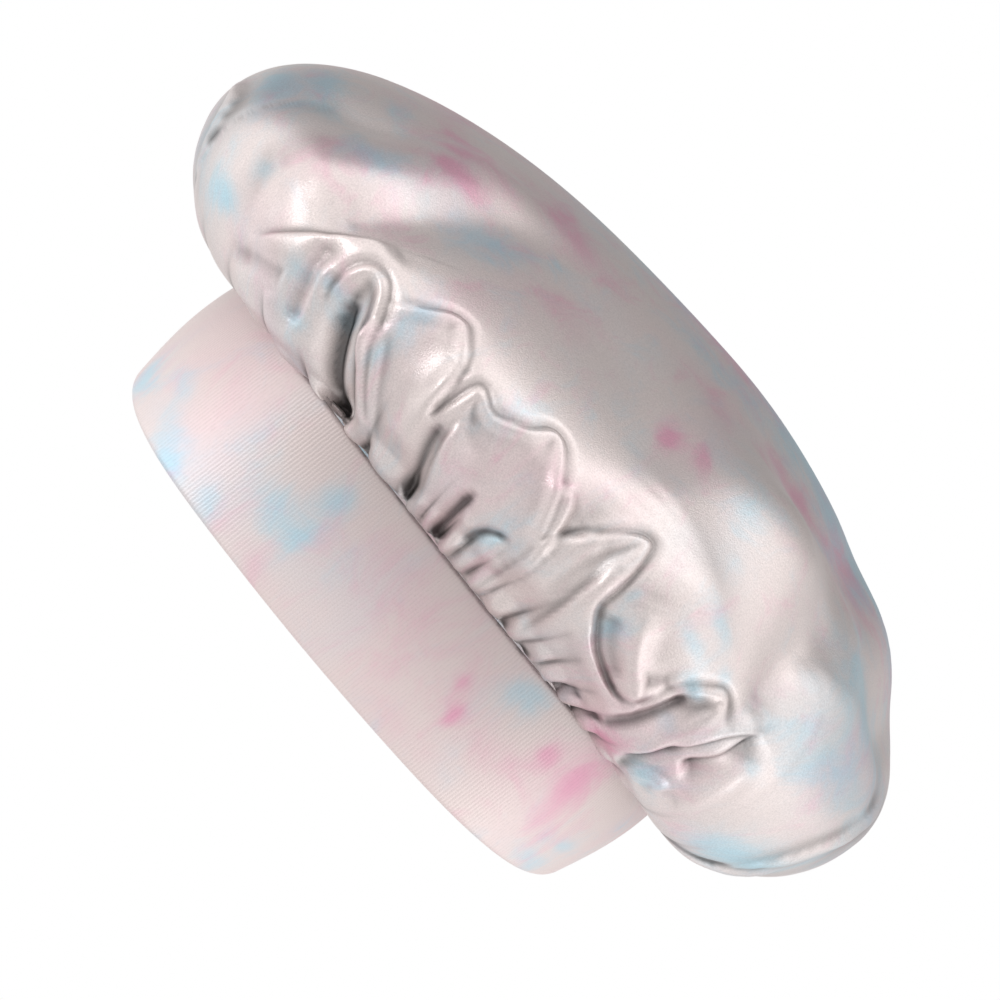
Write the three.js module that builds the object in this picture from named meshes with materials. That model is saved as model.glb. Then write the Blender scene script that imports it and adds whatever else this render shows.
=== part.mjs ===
// Sleep bonnet: a wide satin puff gathered into a smooth satin band.
// Millimetres, +Z up, front at -Y. The origin is the middle of the head opening, on the plane of the rim.
import * as THREE from "three";

const table = (names, ...lines) =>
  lines.map((line) => Object.fromEntries(line.map((value, i) => [names[i], value])));

// Band: a squarish oval, worn round the head.
const BAND = { halfWidth: 88.3, front: 95, back: 100, frontPower: 3.2, backPower: 2.3 };
const BAND_HEIGHT = 46;
const BAND_WALL = 2.4;
const BAND_COLUMNS = 88;
const EDGE_STEPS = 4;

// Puff: satin that leaves the band's top edge, rolls out under itself and closes over the top.
const GAP = 0.3;
const SATIN_WALL = 1.3;
const SEAM_OUT = 0.4;
const SEAM_Z = BAND_HEIGHT + GAP;
const TOP_Z = 121;
const CLOTH = 215;
const UNDER_SHARE = 0.235;
const EVEN_STEPS = 16;

// One row for each direction round the head, front 0, wearer's left 90: how far the puff reaches,
// the height of its widest line, the sag of its underside, and how full shoulder and crown are.
const SECTIONS = table(
  ["deg", "reach", "wide", "sag", "shoulder", "crown"],
  [-180, 139, 71, 2, 0.56, 0.54],
  [-135, 138, 69, 8, 0.58, 0.54],
  [-100, 133, 67, 12, 0.6, 0.54],
  [-80, 133, 67, 13, 0.62, 0.56],
  [-58, 134, 67, 12, 0.62, 0.56],
  [-38, 132, 74, 4, 0.52, 0.5],
  [-22, 129, 82, -8, 0.48, 0.44],
  [0, 128, 84, -13, 0.47, 0.42],
  [20, 130, 84, -12, 0.56, 0.49],
  [38, 133, 76, 3, 0.74, 0.62],
  [58, 134, 71, 16, 0.6, 0.56],
  [80, 131, 71, 17, 0.58, 0.57],
  [100, 132, 70, 15, 0.58, 0.57],
  [135, 138, 72, 8, 0.66, 0.64],
  [180, 139, 71, 2, 0.56, 0.54],
);

// The band's rim: how much higher than its lowest point, how far it turns out (below zero: in),
// and how far the band swells out halfway up (mm).
const RIM = table(
  ["deg", "rise", "flare", "belly"],
  [-180, 2, 1.5, 0.5],
  [-100, 2.5, 0.4, 2.6],
  [-65, 0.8, 0.2, 2.4],
  [-42, 0, 1.2, 0.8],
  [-20, 0.4, 0.8, 0.2],
  [0, 0.8, 0.5, 0.2],
  [22, 2.2, 0.2, 0.2],
  [45, 3.8, -0.6, 0.4],
  [68, 5.6, -1.6, 1.8],
  [95, 7, -1.8, 2.2],
  [135, 5, -0.6, 0.8],
  [180, 2, 1.5, 0.5],
);

// Places on the cloth are degrees round the head and millimetres up from the seam.
// Full places and dents: centre, half width and half height, and rise (mm).
const SWELLS = table(
  ["deg", "up", "wide", "tall", "rise"],
  [31, 123, 30, 27, 6],
  [24.3, 64, 15, 14, 3],
  [-3.4, 128.2, 46, 22, -1],
  [-62, 54.3, 16, 20, 2.5],
  [62, 57.8, 22, 22, 2],
  [7.2, 55, 8, 15, -5],
  [4.2, 14, 4, 6, 2.6],
  [41.4, 46.5, 4, 6, 1.6],
  // dark holes at the feet of the folds
  [-24.3, 5, 3, 8, -8],
  [-19.6, 2, 1.8, 4, -4],
  [-10.3, 4, 2.2, 8, -6],
  [-3, 3, 1.8, 6, -4],
  [14.8, 1, 1.6, 4, -3],
  [19.8, 2, 2, 3, -5],
  [26.4, 3, 2.4, 5, -6],
  [30.4, 3, 2.4, 5, -6],
  [35.2, 3, 2.4, 6, -6],
  [40, 1, 2.4, 4, -4],
);

// Full places and hollows of the top: middle across and from front to back, half sizes and rise (mm).
const MOUNDS = table(
  ["x", "y", "wide", "deep", "rise"],
  [20, 5, 44, 75, 3.8],
  [72, 10, 7, 60, -1.6],
  [92, 0, 13, 60, 2.6],
  [114, 0, 10, 60, -3.6],
  [-52, 20, 30, 60, 0.6],
);

// Arched gathers over the band: the foot and apex they run between, half width at the foot and
// above it in degrees, the bow of their middle line, how square their top is, the groove and the
// rim round them (mm), how soft these are, and the depth and reach of the hollow inside.
const ARCHES = table(
  ["foot", "apex", "top", "foot_half", "half", "bow", "square", "groove", "rim", "soft", "pocket", "reach"],
  [-22.6, -31.4, 57, 2.4, 4.6, 1.2, 5, 1.3, 1, 1.6, 7, 8],
);

// The line over the gathers at the front, where the full cloth folds down over them:
// its course on the cloth, and its groove, the rim under it and the hollow inside (mm).
const GATHER_LINE = table(
  ["deg", "up", "groove", "rim", "pocket"],
  [-28.25, 48.75, 0, 0, 0],
  [-24.5, 57, 1, 0.6, 1.5],
  [-22.9, 62.6, 1, 0.6, 1.8],
  [-21.25, 65, 1.1, 0.75, 2],
  [-19.6, 63.9, 1.2, 0.75, 2],
  [-15.75, 53.5, 1.3, 0.75, 2],
  [-13.75, 36.25, 1, 0.9, 0.5],
  [-12.75, 50, 1.2, 0.9, 1],
  [-12, 53.25, 1.2, 0.9, 2.5],
  [-8.75, 50.5, 1.1, 0.68, 2],
  [-5, 57.75, 1.1, 0.75, 1.5],
  [-3.7, 64, 1.2, 0.8, 2],
  [-2.25, 66.25, 1.2, 0.83, 2],
  [-0.5, 64.4, 1.2, 0.8, 2],
  [1.75, 57.25, 1.2, 0.75, 2],
  [4.75, 45.25, 1.2, 0.75, 2],
  [6.25, 38.25, 1, 0.75, 1],
  [7.5, 42.5, 1, 0.6, 1],
  [11.75, 58.5, 1.1, 0.75, 2],
  [13.6, 63.4, 1.3, 0.85, 2],
  [15, 65, 1.5, 0.9, 2],
  [15.75, 62, 1.6, 0.98, 1],
  [16.25, 46.5, 1.7, 0.75, 0],
  [17.25, 37.5, 1.6, 0.6, 0],
  [22, 28, 1.2, 0.6, 0],
  [28, 26.75, 1.2, 0.6, 0],
  [30.5, 34.5, 1.2, 0.6, 0],
  [31.25, 47.5, 1.2, 0.75, 2],
  [34.25, 56.25, 1.4, 0.9, 4],
  [35.75, 57.75, 1.4, 0.9, 4],
  [37, 56, 1.4, 0.8, 2.5],
  [37.25, 50.75, 1.4, 0.75, 1],
  [38, 44, 1, 0.45, 0],
  [39.75, 34.75, 0, 0, 0],
);
const LINE_STEPS = 3;
const LINE_SOFT = 1.5;
const RIM_FLANKS = { outside: 2, inside: 5.5 };
const STEP_REACH = { from: -1, to: 6 };

// Long folds: start, middle and end on the cloth, height (below zero for a valley),
// and the half widths of the left and right flanks (mm), seen along the fold.
const FOLDS = table(
  ["deg0", "up0", "deg1", "up1", "deg2", "up2", "height", "left", "right"],
  // broad folds of the crown
  [-62, 36, -43, 80, -60.5, 160.5, 5, 12, 8],
  [-42.5, 52.5, -33, 77, -45.5, 159, -3, 7, 9],
  [-69.9, 75.2, -62.8, 89, -58.9, 104, -2.5, 9, 9],
  [92, 143, 70.3, 118.4, 61.6, 100.2, 0.8, 1.4, 1.4],
  [109.4, 134.9, 109.5, 124.5, 105, 111.1, 0.8, 1.4, 1.4],
  [56.3, 115.1, 42.1, 84.3, 43.1, 56, -3.4, 7, 9],
  // left end
  [-35.8, 73.3, -40.6, 57.7, -42.8, 45.1, 3, 9, 1.5],
  [-38, 53.6, -44, 44, -60, 33, 2.2, 5, 9],
  [-40.5, 36, -48, 31, -60, 27, -1.2, 5, 5],
  [-86, 54.5, -73, 48, -66, 27, 2.2, 3, 2],
  [-71, 52.2, -68, 42, -69, 30, -1.2, 1.6, 1.6],
  // wedge left of the first arch
  [-38.8, 52.4, -38, 42, -33, 18, -3, 4.5, 3.5],
  [-37.3, 52.4, -34.7, 42, -32, 24, -1.4, 1.2, 2.4],
  [-37.4, 25, -33, 12, -28.7, 1, 1.8, 4, 4],
  // inside the first arch
  [-32.2, 42, -28.6, 22, -24, 1, -6, 2.8, 4],
  [-28.3, 49.6, -26.5, 31, -24, 5, 3.4, 4, 1.6],
  [-26, 46.8, -22.6, 26, -18.8, 0, 3.4, 8, 1.3],
  // between the second and third
  [-15.4, 52.5, -14.7, 34, -14.4, 12, 2.4, 2, 5],
  // inside the third
  [-10.6, 46.1, -8.8, 21, -6.2, 0, 3.2, 8, 1.3],
  [-12.2, 40, -11.6, 22, -9.8, 1, -2.5, 2, 2],
  // inside the fourth
  [3.4, 57.1, 6.5, 42, 8.5, 13, 2.4, 1.8, 6],
  [7.2, 44, 8.2, 15, 9, 0, 2.2, 7, 1.2],
  [-3.1, 31, -3.2, 13, -2.6, 0, -4, 1.5, 2.2],
  [-1.6, 22, -0.6, 10, 0.2, 0, 1.6, 3, 1.2],
  [0.9, 8, 1.4, 20, 4.7, 28, -2.2, 1.6, 2.2],
  // inside the fifth
  [13.9, 54.5, 15.3, 29, 17.8, 0, 3, 7, 1.2],
  [10.9, 53.4, 10, 38.6, 10.6, 16, 1.6, 4, 4],
  // hanging part between the fifth and sixth
  [16.6, 43, 21.1, 26.4, 31, 32, 3.8, 10, 1.8],
  [20.1, 52.3, 23.2, 42, 29.6, 36, 1.8, 5, 5],
  [30.4, 53.4, 30.1, 44, 30.6, 36, -1.6, 2.4, 2.4],
  [30, 26, 27.6, 13, 26.5, 0, -3, 1.4, 2.6],
  [32.2, 33, 30.9, 16, 30.2, 0, -3, 1.4, 2.6],
  // inside the sixth, and the long fold right of it
  [44.3, 62.7, 37.4, 46, 34, 1, 3, 1.2, 4],
  [44.7, 60.6, 41.2, 46, 37.2, 17, -3.6, 5, 2],
  [45, 61.6, 44.1, 50.5, 41.7, 34, 1.8, 6, 1.8],
  [36.8, 31, 36.4, 18, 35.1, 1, -3, 1.5, 2.2],
  [43.7, 31, 40.6, 22, 38, 8, 2.4, 4, 2.4],
  // right end
  [89.9, 67.1, 68, 51.9, 65, 23.5, 2.6, 5, 2.2],
  [64.8, 42, 63.6, 30, 52.5, 13.5, -2, 2.4, 3],
  [68.7, 40, 67, 28, 54, 16, 1.6, 2.4, 3],
);
const FOLD_STEPS = 14;

// Small pleats at the seam: the valleys that show at the front, then even ones round the back.
const FRONT_VALLEYS = [
  -60, -50, -41, -33, -25, -19.5, -11, -6, -2, 1.5, 5, 9, 14, 18.3, 22.3, 27, 31, 35, 40.5, 48, 56, 66,
];
const BACK_PLEATS = 18;
const PLEAT_WOBBLE = 1.6;
const PLEAT_DEPTH = 0.35;
const PLEAT_FADE = { from: 8, to: 34 };
const PLEAT_PINCH = 1.4;

// Facets: finer over the face of the bonnet, where the gathers are, and there each corner takes
// the mean of the folds around it. Round the back each pleat has one column in its valley and one on its crest.
const FACE_COLUMNS = 58;
const FACET_REACH = { deg: 0.8, up: 1.6 };
const GATHER_ROWS = { to: 72, rows: 18 };
const TOP_ROWS = 7;

const rad = (deg) => (deg * Math.PI) / 180;
const clamp = (x, low, high) => Math.min(Math.max(x, low), high);
const turn = (deg) => ((((deg + 180) % 360) + 360) % 360) - 180;
const ease = (from, to, x) => {
  const t = clamp((x - from) / (to - from), 0, 1);
  return t * t * (3 - 2 * t);
};
const hump = (x) => Math.exp(-x * x);
const bezier = (a, b, c, d, t) => {
  const s = 1 - t;
  return s * s * s * a + 3 * s * s * t * b + 3 * s * t * t * c + t * t * t * d;
};

function planRadius(deg) {
  const across = Math.abs(Math.sin(rad(deg))) / BAND.halfWidth;
  const along = Math.cos(rad(deg));
  const depth = along > 0 ? BAND.front : BAND.back;
  const power = along > 0 ? BAND.frontPower : BAND.backPower;
  return (across ** power + (Math.abs(along) / depth) ** power) ** (-1 / power);
}

// Smooth curves through the rows of a table that closes round the back.
function rowAt(rows, deg) {
  const n = rows.length - 1;
  let i = 0;
  while (i < n - 1 && rows[i + 1].deg <= deg) i += 1;
  const row = (j) => rows[((j % n) + n) % n];
  const span = (j, k) => (((row(k).deg - row(j).deg) % 360) + 360) % 360;
  const width = span(i, i + 1);
  const f = (deg - rows[i].deg) / width;
  const mixed = {};
  for (const name of Object.keys(rows[0])) {
    const slope = (j) => (row(j + 1)[name] - row(j - 1)[name]) / (span(j - 1, j) + span(j, j + 1));
    mixed[name] =
      (2 * f ** 3 - 3 * f ** 2 + 1) * row(i)[name] +
      (f ** 3 - 2 * f ** 2 + f) * width * slope(i) +
      (3 * f ** 2 - 2 * f ** 3) * row(i + 1)[name] +
      (f ** 3 - f ** 2) * width * slope(i + 1);
  }
  return mixed;
}

// Radius and height along the underside, from the seam to the widest line, and on over the top.
const underCurve = (s, seam, t) => [
  bezier(seam, seam + 0.5 * (s.reach - seam), s.reach, s.reach, t),
  bezier(SEAM_Z, SEAM_Z - s.sag, s.wide - 0.6 * (s.wide - SEAM_Z) - 0.45 * s.sag, s.wide, t),
];
const overCurve = (s, t) => [
  bezier(s.reach, s.reach, s.crown * s.reach, 0, t),
  bezier(s.wide, s.wide + s.shoulder * (TOP_Z - s.wide), TOP_Z, TOP_Z, t),
];

// The curve's own parameter at a share of its length.
function evenAlong(curve, share) {
  const points = Array.from({ length: EVEN_STEPS + 1 }, (_, i) => curve(i / EVEN_STEPS));
  const steps = points.slice(1).map((p, i) => Math.hypot(p[0] - points[i][0], p[1] - points[i][1]));
  let left = share * steps.reduce((sum, step) => sum + step, 0);
  let t = 0;
  for (const step of steps) {
    t += clamp(left / step, 0, 1) / EVEN_STEPS;
    left -= step;
  }
  return t;
}

// The puff without folds.
function plainPuff(deg, up) {
  const section = rowAt(SECTIONS, turn(deg));
  const seam = planRadius(deg) + SEAM_OUT;
  const share = clamp(up / CLOTH, 0, 1);
  const over = (t) => overCurve(section, t);
  const [radius, z] =
    share <= UNDER_SHARE
      ? underCurve(section, seam, share / UNDER_SHARE)
      : over(evenAlong(over, (share - UNDER_SHARE) / (1 - UNDER_SHARE)));
  return new THREE.Vector3(radius * Math.sin(rad(deg)), -radius * Math.cos(rad(deg)), z);
}

function swell(row, deg, up, perDegree) {
  return row.rise * hump((turn(deg - row.deg) * perDegree) / row.wide) * hump((up - row.up) / row.tall);
}

function mound(row, x, y) {
  return row.rise * hump((x - row.x) / row.wide) * hump((y - row.y) / row.deep);
}

// Profile across the edge of a gather: a groove, a rim that falls off slowly inside, and a step down.
function hem(inside, soft, groove, rim, pocket) {
  const past = inside - soft;
  const flank = past < 0 ? RIM_FLANKS.outside : RIM_FLANKS.inside;
  return (
    rim * hump(past / flank) - groove * hump(inside / soft + 0.7) - pocket * ease(STEP_REACH.from, STEP_REACH.to, inside)
  );
}

function arch(row, deg, up, perDegree) {
  const v = Math.max(up / row.top, 0);
  const middle = row.foot + (row.apex - row.foot) * Math.min(v, 1.3) ** row.bow;
  const half = row.foot_half + (row.half - row.foot_half) * ease(0, 0.65, v);
  const q = turn(deg - middle) / half;
  const level = Math.sqrt(Math.max(q * q + v ** row.square, 1e-9));
  const slopeAcross = q / level / (half * perDegree);
  const slopeUp = (0.5 * row.square * v ** (row.square - 1)) / level / row.top;
  const inside = (1 - level) / (Math.hypot(slopeAcross, slopeUp) + 1e-6);
  const edge = hem(inside, row.soft, row.groove, row.rim, 0) * ease(2, 16, up);
  const shallow = 1 - 0.65 * ease(0.3, 1, v);
  return edge - row.pocket * ease(-0.5, row.reach, inside) * shallow * ease(0, 12, up);
}

// Nearest place on a short straight piece of cloth, with perDegree the millimetres in one degree.
function nearestOn(from, to, deg, up, perDegree) {
  const dx = (to.deg - from.deg) * perDegree;
  const dy = to.up - from.up;
  const px = turn(deg - from.deg) * perDegree;
  const py = up - from.up;
  const t = clamp((px * dx + py * dy) / (dx * dx + dy * dy), 0, 1);
  return { t, distance: Math.hypot(px - t * dx, py - t * dy) };
}

// Points along the line over the gathers, on smooth curves through its rows.
function linePoints() {
  const rows = GATHER_LINE;
  const points = [];
  for (let i = 0; i < rows.length - 1; i += 1) {
    const [a, b, c, d] = [rows[Math.max(i - 1, 0)], rows[i], rows[i + 1], rows[Math.min(i + 2, rows.length - 1)]];
    for (let step = 0; step < LINE_STEPS; step += 1) {
      const f = step / LINE_STEPS;
      const point = {};
      for (const name of Object.keys(a)) {
        const [p, q, r, s] = [a[name], b[name], c[name], d[name]];
        point[name] = q + 0.5 * f * (r - p + f * (2 * p - 5 * q + 4 * r - s + f * (3 * (q - r) + s - p)));
      }
      points.push(point);
    }
  }
  return [...points, rows[rows.length - 1]];
}
const LINE_POINTS = linePoints();

function lineUp(deg) {
  const last = LINE_POINTS.length - 1;
  if (deg <= LINE_POINTS[0].deg) return LINE_POINTS[0].up;
  if (deg >= LINE_POINTS[last].deg) return LINE_POINTS[last].up;
  let i = 0;
  while (LINE_POINTS[i + 1].deg < deg) i += 1;
  const [a, b] = [LINE_POINTS[i], LINE_POINTS[i + 1]];
  return a.up + ((b.up - a.up) * (deg - a.deg)) / (b.deg - a.deg);
}

function gatherLine(deg, up, perDegree) {
  let nearest = Infinity;
  let total = 0;
  const found = { groove: 0, rim: 0, pocket: 0 };
  for (let i = 0; i < LINE_POINTS.length - 1; i += 1) {
    const [a, b] = [LINE_POINTS[i], LINE_POINTS[i + 1]];
    const { t, distance } = nearestOn(a, b, deg, up, perDegree);
    nearest = Math.min(nearest, distance);
    const weight = 1 / (distance * distance + 1) ** 3;
    total += weight;
    for (const name of Object.keys(found)) found[name] += weight * (a[name] + t * (b[name] - a[name]));
  }
  const inside = up < lineUp(deg) ? nearest : -nearest;
  const edge = hem(inside, LINE_SOFT, found.groove / total, found.rim / total, found.pocket / total);
  return edge * ease(2, 16, up) * (1 - ease(20, 45, nearest));
}

function fold(row, deg, up, perDegree) {
  const middle = (name) => 2 * row[name + 1] - (row[name + 0] + row[name + 2]) / 2;
  const through = (name, s) =>
    (1 - s) ** 2 * row[name + 0] + 2 * s * (1 - s) * middle(name) + s * s * row[name + 2];
  const heading = (name, s) => (1 - s) * (middle(name) - row[name + 0]) + s * (row[name + 2] - middle(name));
  const place = (s) => ({ deg: through("deg", s), up: through("up", s) });
  let nearest = Infinity;
  let along = 0;
  for (let i = 0; i < FOLD_STEPS; i += 1) {
    const { t, distance } = nearestOn(place(i / FOLD_STEPS), place((i + 1) / FOLD_STEPS), deg, up, perDegree);
    if (distance < nearest) {
      nearest = distance;
      along = (i + t) / FOLD_STEPS;
    }
  }
  const at = place(along);
  const side =
    heading("deg", along) * perDegree * (up - at.up) - heading("up", along) * turn(deg - at.deg) * perDegree;
  const flank = side > 0 ? row.left : row.right;
  const ends = ease(-0.02, 0.22, along) * (1 - ease(0.78, 1.02, along));
  return row.height * hump(nearest / flank) * ends;
}

const FACE_FROM = FRONT_VALLEYS[0];
const FACE_TO = FRONT_VALLEYS[FRONT_VALLEYS.length - 1];

function seamValleys() {
  const back = [];
  for (let i = 1; i < BACK_PLEATS; i += 1) {
    const even = FACE_TO + ((FACE_FROM + 360 - FACE_TO) * i) / BACK_PLEATS;
    back.push(even + PLEAT_WOBBLE * Math.sin(even * 2.3));
  }
  return [...FRONT_VALLEYS, ...back, FACE_FROM + 360];
}
const VALLEYS = seamValleys();

function pleat(deg, up) {
  const at = deg < VALLEYS[0] ? deg + 360 : deg;
  let i = 0;
  while (i < VALLEYS.length - 2 && VALLEYS[i + 1] <= at) i += 1;
  const width = VALLEYS[i + 1] - VALLEYS[i];
  const crest = Math.sin(Math.PI * clamp((at - VALLEYS[i]) / width, 0, 1)) ** 0.8;
  const height = PLEAT_DEPTH * Math.min(width, 9) ** 0.9;
  const pinch = PLEAT_PINCH * (1 - crest) ** 2 * ease(0, 4, up) * (1 - ease(6, 18, up));
  return (crest - 0.35) * height * ease(-3, 9, up) * (1 - ease(PLEAT_FADE.from, PLEAT_FADE.to, up)) - pinch;
}

function foldHeight(deg, up, perDegree) {
  let height = pleat(deg, up) + gatherLine(deg, up, perDegree);
  for (const row of SWELLS) height += swell(row, deg, up, perDegree);
  for (const row of ARCHES) height += arch(row, deg, up, perDegree);
  for (const row of FOLDS) height += fold(row, deg, up, perDegree);
  return height;
}

function relief(deg, up, base) {
  const perDegree = rad(Math.max(Math.hypot(base.x, base.y), 12));
  const onFace = deg > FACE_FROM && deg < FACE_TO;
  const steps = onFace ? [-1, 0, 1] : [0];
  let sum = 0;
  for (const i of steps) {
    for (const j of steps) {
      sum += foldHeight(turn(deg + i * FACET_REACH.deg), Math.max(up + j * FACET_REACH.up, 0), perDegree);
    }
  }
  let height = (sum / steps.length ** 2) * ease(0, 30, CLOTH - up);
  for (const row of MOUNDS) height += mound(row, base.x, base.y) * ease(55, 90, up);
  return height;
}

// A point of the folded cloth, on its outer face or one wall inside it. Folds rise straight out
// near the seam and square to the cloth above it.
function puffPoint(deg, up, wall) {
  const base = plainPuff(deg, up);
  const across = plainPuff(deg + 0.5, Math.min(up, CLOTH - 1)).sub(plainPuff(deg - 0.5, Math.min(up, CLOTH - 1)));
  const upward = plainPuff(deg, Math.min(up + 0.7, CLOTH)).sub(plainPuff(deg, Math.max(up - 0.7, 0)));
  const normal = across.cross(upward).normalize();
  const outward = new THREE.Vector3(Math.sin(rad(deg)), -Math.cos(rad(deg)), 0);
  const lift = normal.clone().lerp(outward, 1 - ease(24, 66, up)).normalize();
  return base.addScaledVector(lift, relief(deg, up, base)).addScaledVector(normal, -wall);
}

function closedMesh(name, points, triangles, colour, roughness) {
  const geometry = new THREE.BufferGeometry();
  geometry.setAttribute("position", new THREE.Float32BufferAttribute(points.flatMap((p) => [p.x, p.y, p.z]), 3));
  geometry.setIndex(triangles.flat());
  geometry.computeVertexNormals();
  const mesh = new THREE.Mesh(geometry, new THREE.MeshStandardMaterial({ color: colour, roughness }));
  mesh.name = name;
  return mesh;
}

// Two triangles for each cell of a grid that closes on itself in its first direction.
function cells(columns, first, next, flip) {
  const faces = [];
  for (let i = 0; i < columns; i += 1) {
    const j = (i + 1) % columns;
    const [a, b, c, d] = [first(i), first(j), next(j), next(i)];
    faces.push(flip ? [a, c, b] : [a, b, c], flip ? [a, d, c] : [a, c, d]);
  }
  return faces;
}

function makePuff() {
  const columns = [];
  for (let i = 0; i < FACE_COLUMNS; i += 1) {
    columns.push(FACE_FROM + ((FACE_TO - FACE_FROM) * i) / FACE_COLUMNS);
  }
  const back = VALLEYS.slice(FRONT_VALLEYS.length - 1);
  for (let i = 0; i < BACK_PLEATS; i += 1) {
    columns.push(turn(back[i]), turn((back[i] + back[i + 1]) / 2));
  }
  const ups = [];
  for (let i = 0; i < GATHER_ROWS.rows; i += 1) ups.push((GATHER_ROWS.to * i) / GATHER_ROWS.rows);
  for (let i = 0; i < TOP_ROWS; i += 1) ups.push(GATHER_ROWS.to + ((CLOTH - GATHER_ROWS.to) * i) / TOP_ROWS);
  const points = [];
  const faces = [];
  const n = columns.length;
  const layerStart = [];
  for (const wall of [0, SATIN_WALL]) {
    const start = points.length;
    layerStart.push(start);
    for (const up of ups) {
      for (const deg of columns) points.push(puffPoint(deg, up, wall));
    }
    const pole = points.length;
    points.push(puffPoint(0, CLOTH, wall));
    const flip = wall > 0;
    for (let j = 0; j < ups.length - 1; j += 1) {
      faces.push(...cells(n, (i) => start + j * n + i, (i) => start + (j + 1) * n + i, flip));
    }
    const last = start + (ups.length - 1) * n;
    for (let i = 0; i < n; i += 1) {
      const [a, b] = [last + i, last + ((i + 1) % n)];
      faces.push(flip ? [a, pole, b] : [a, b, pole]);
    }
  }
  faces.push(...cells(n, (i) => layerStart[0] + i, (i) => layerStart[1] + i, true));
  return closedMesh("crown", points, faces, 0xe9d9dc, 0.35);
}

// The band is a doubled strip, so its rim and its top edge are round.
function makeBand() {
  const half = BAND_WALL / 2;
  const rim = [];
  for (let i = 0; i <= EDGE_STEPS; i += 1) {
    const a = (Math.PI * i) / EDGE_STEPS;
    rim.push([-half + half * Math.cos(a), half - half * Math.sin(a)]);
  }
  const edge = rim.map(([out, z]) => [out, BAND_HEIGHT - z]).reverse();
  const middles = [0.33, 0.67].map((share) => share * BAND_HEIGHT);
  const outline = [
    ...rim,
    ...middles.map((z) => [-BAND_WALL, z]),
    ...edge,
    ...middles.map((z) => [0, z]).reverse(),
  ];
  const points = [];
  for (const [out, z] of outline) {
    const low = 1 - z / BAND_HEIGHT;
    for (let i = 0; i < BAND_COLUMNS; i += 1) {
      const deg = (360 * i) / BAND_COLUMNS - 180;
      const { rise, flare, belly } = rowAt(RIM, deg);
      const radius = planRadius(deg) + out + flare * low ** 2 + belly * Math.sin(Math.PI * low);
      points.push(new THREE.Vector3(radius * Math.sin(rad(deg)), -radius * Math.cos(rad(deg)), z + rise * low));
    }
  }
  const n = BAND_COLUMNS;
  const faces = [];
  for (let j = 0; j < outline.length; j += 1) {
    const k = (j + 1) % outline.length;
    faces.push(...cells(n, (i) => j * n + i, (i) => k * n + i, true));
  }
  return closedMesh("band", points, faces, 0xe6d6da, 0.6);
}

const bonnet = new THREE.Group();
bonnet.name = "sleep_bonnet";
bonnet.add(makePuff(), makeBand());

export default bonnet;
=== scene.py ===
"""Sleep bonnet: a wide satin puff gathered into a smooth satin band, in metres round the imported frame."""
import bpy
import math
import numpy as np
from mathutils import Matrix, Vector


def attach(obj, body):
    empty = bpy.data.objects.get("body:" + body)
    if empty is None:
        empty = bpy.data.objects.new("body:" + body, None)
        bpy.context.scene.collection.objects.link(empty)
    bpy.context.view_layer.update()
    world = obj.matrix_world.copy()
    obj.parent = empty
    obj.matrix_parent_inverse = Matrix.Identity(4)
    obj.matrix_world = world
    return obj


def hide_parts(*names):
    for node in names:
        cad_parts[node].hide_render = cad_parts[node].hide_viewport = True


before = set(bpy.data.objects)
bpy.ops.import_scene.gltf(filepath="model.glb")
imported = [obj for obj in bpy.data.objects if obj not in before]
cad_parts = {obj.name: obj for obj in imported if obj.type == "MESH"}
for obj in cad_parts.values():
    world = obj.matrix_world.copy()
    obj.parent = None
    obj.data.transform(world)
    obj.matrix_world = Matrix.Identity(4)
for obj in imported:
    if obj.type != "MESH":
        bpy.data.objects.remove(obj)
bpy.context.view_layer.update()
MM = 0.001

# Sizes in millimetres. The front is at -Y and the origin is the middle of the head opening.
# The band's plan is a rounded oval: a power of 2 is an ellipse and a higher one is squarer.
BAND = dict(half_width=88.3, front=95.0, back=100.0, front_power=3.2, back_power=2.3)
BAND_HEIGHT = 46.0
BAND_WALL = 2.4
# The band's strip is shorter before it is worn: round a head it is stretched by 3% to the way round
# the plan, 609 mm at the middle of its wall.
SATIN_WALL = 1.3
# The crown's edge is left this far above the band's top edge, and out from its plan.
GAP = 0.3
SEAM_OUT = 0.4
SEAM_Z = BAND_HEIGHT + GAP
# Top of the puff before its full places are added.
TOP_Z = 121.0
# Radius of the crown's round cut: the longest way along the cloth from the seam, out under the puff
# and over it, to the middle of the top.
CLOTH = 215.0
# Share of that length that lies under the widest line, and how the curve there leaves the seam
# and meets the widest line: shares of the puff's overhang, of its height over the seam and of its sag.
UNDER_SHARE = 0.235
UNDER_OUT = 0.5
UNDER_LIFT = 0.6
UNDER_SAG = 0.45
# Straight steps by which the length of the curve over the puff is measured.
EVEN_STEPS = 16
# Near the middle of the top, a degree is counted as wide as it is at this radius.
LEAST_RADIUS = 12.0


def table(names, *lines):
    """Rows of named values."""
    return [dict(zip(names.split(), line)) for line in lines]


# One row for each direction round the head, front 0, wearer's left 90: how far the puff reaches,
# the height of its widest line, the sag of its underside, and how full shoulder and crown are.
SECTIONS = table(
    "deg reach wide sag shoulder crown",
    (-180, 139, 71, 2, 0.56, 0.54),
    (-135, 138, 69, 8, 0.58, 0.54),
    (-100, 133, 67, 12, 0.60, 0.54),
    (-80, 133, 67, 13, 0.62, 0.56),
    (-58, 134, 67, 12, 0.62, 0.56),
    (-38, 132, 74, 4, 0.52, 0.50),
    (-22, 129, 82, -8, 0.48, 0.44),
    (0, 128, 84, -13, 0.47, 0.42),
    (20, 130, 84, -12, 0.56, 0.49),
    (38, 133, 76, 3, 0.74, 0.62),
    (58, 134, 71, 16, 0.60, 0.56),
    (80, 131, 71, 17, 0.58, 0.57),
    (100, 132, 70, 15, 0.58, 0.57),
    (135, 138, 72, 8, 0.66, 0.64),
    (180, 139, 71, 2, 0.56, 0.54),
)

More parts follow.
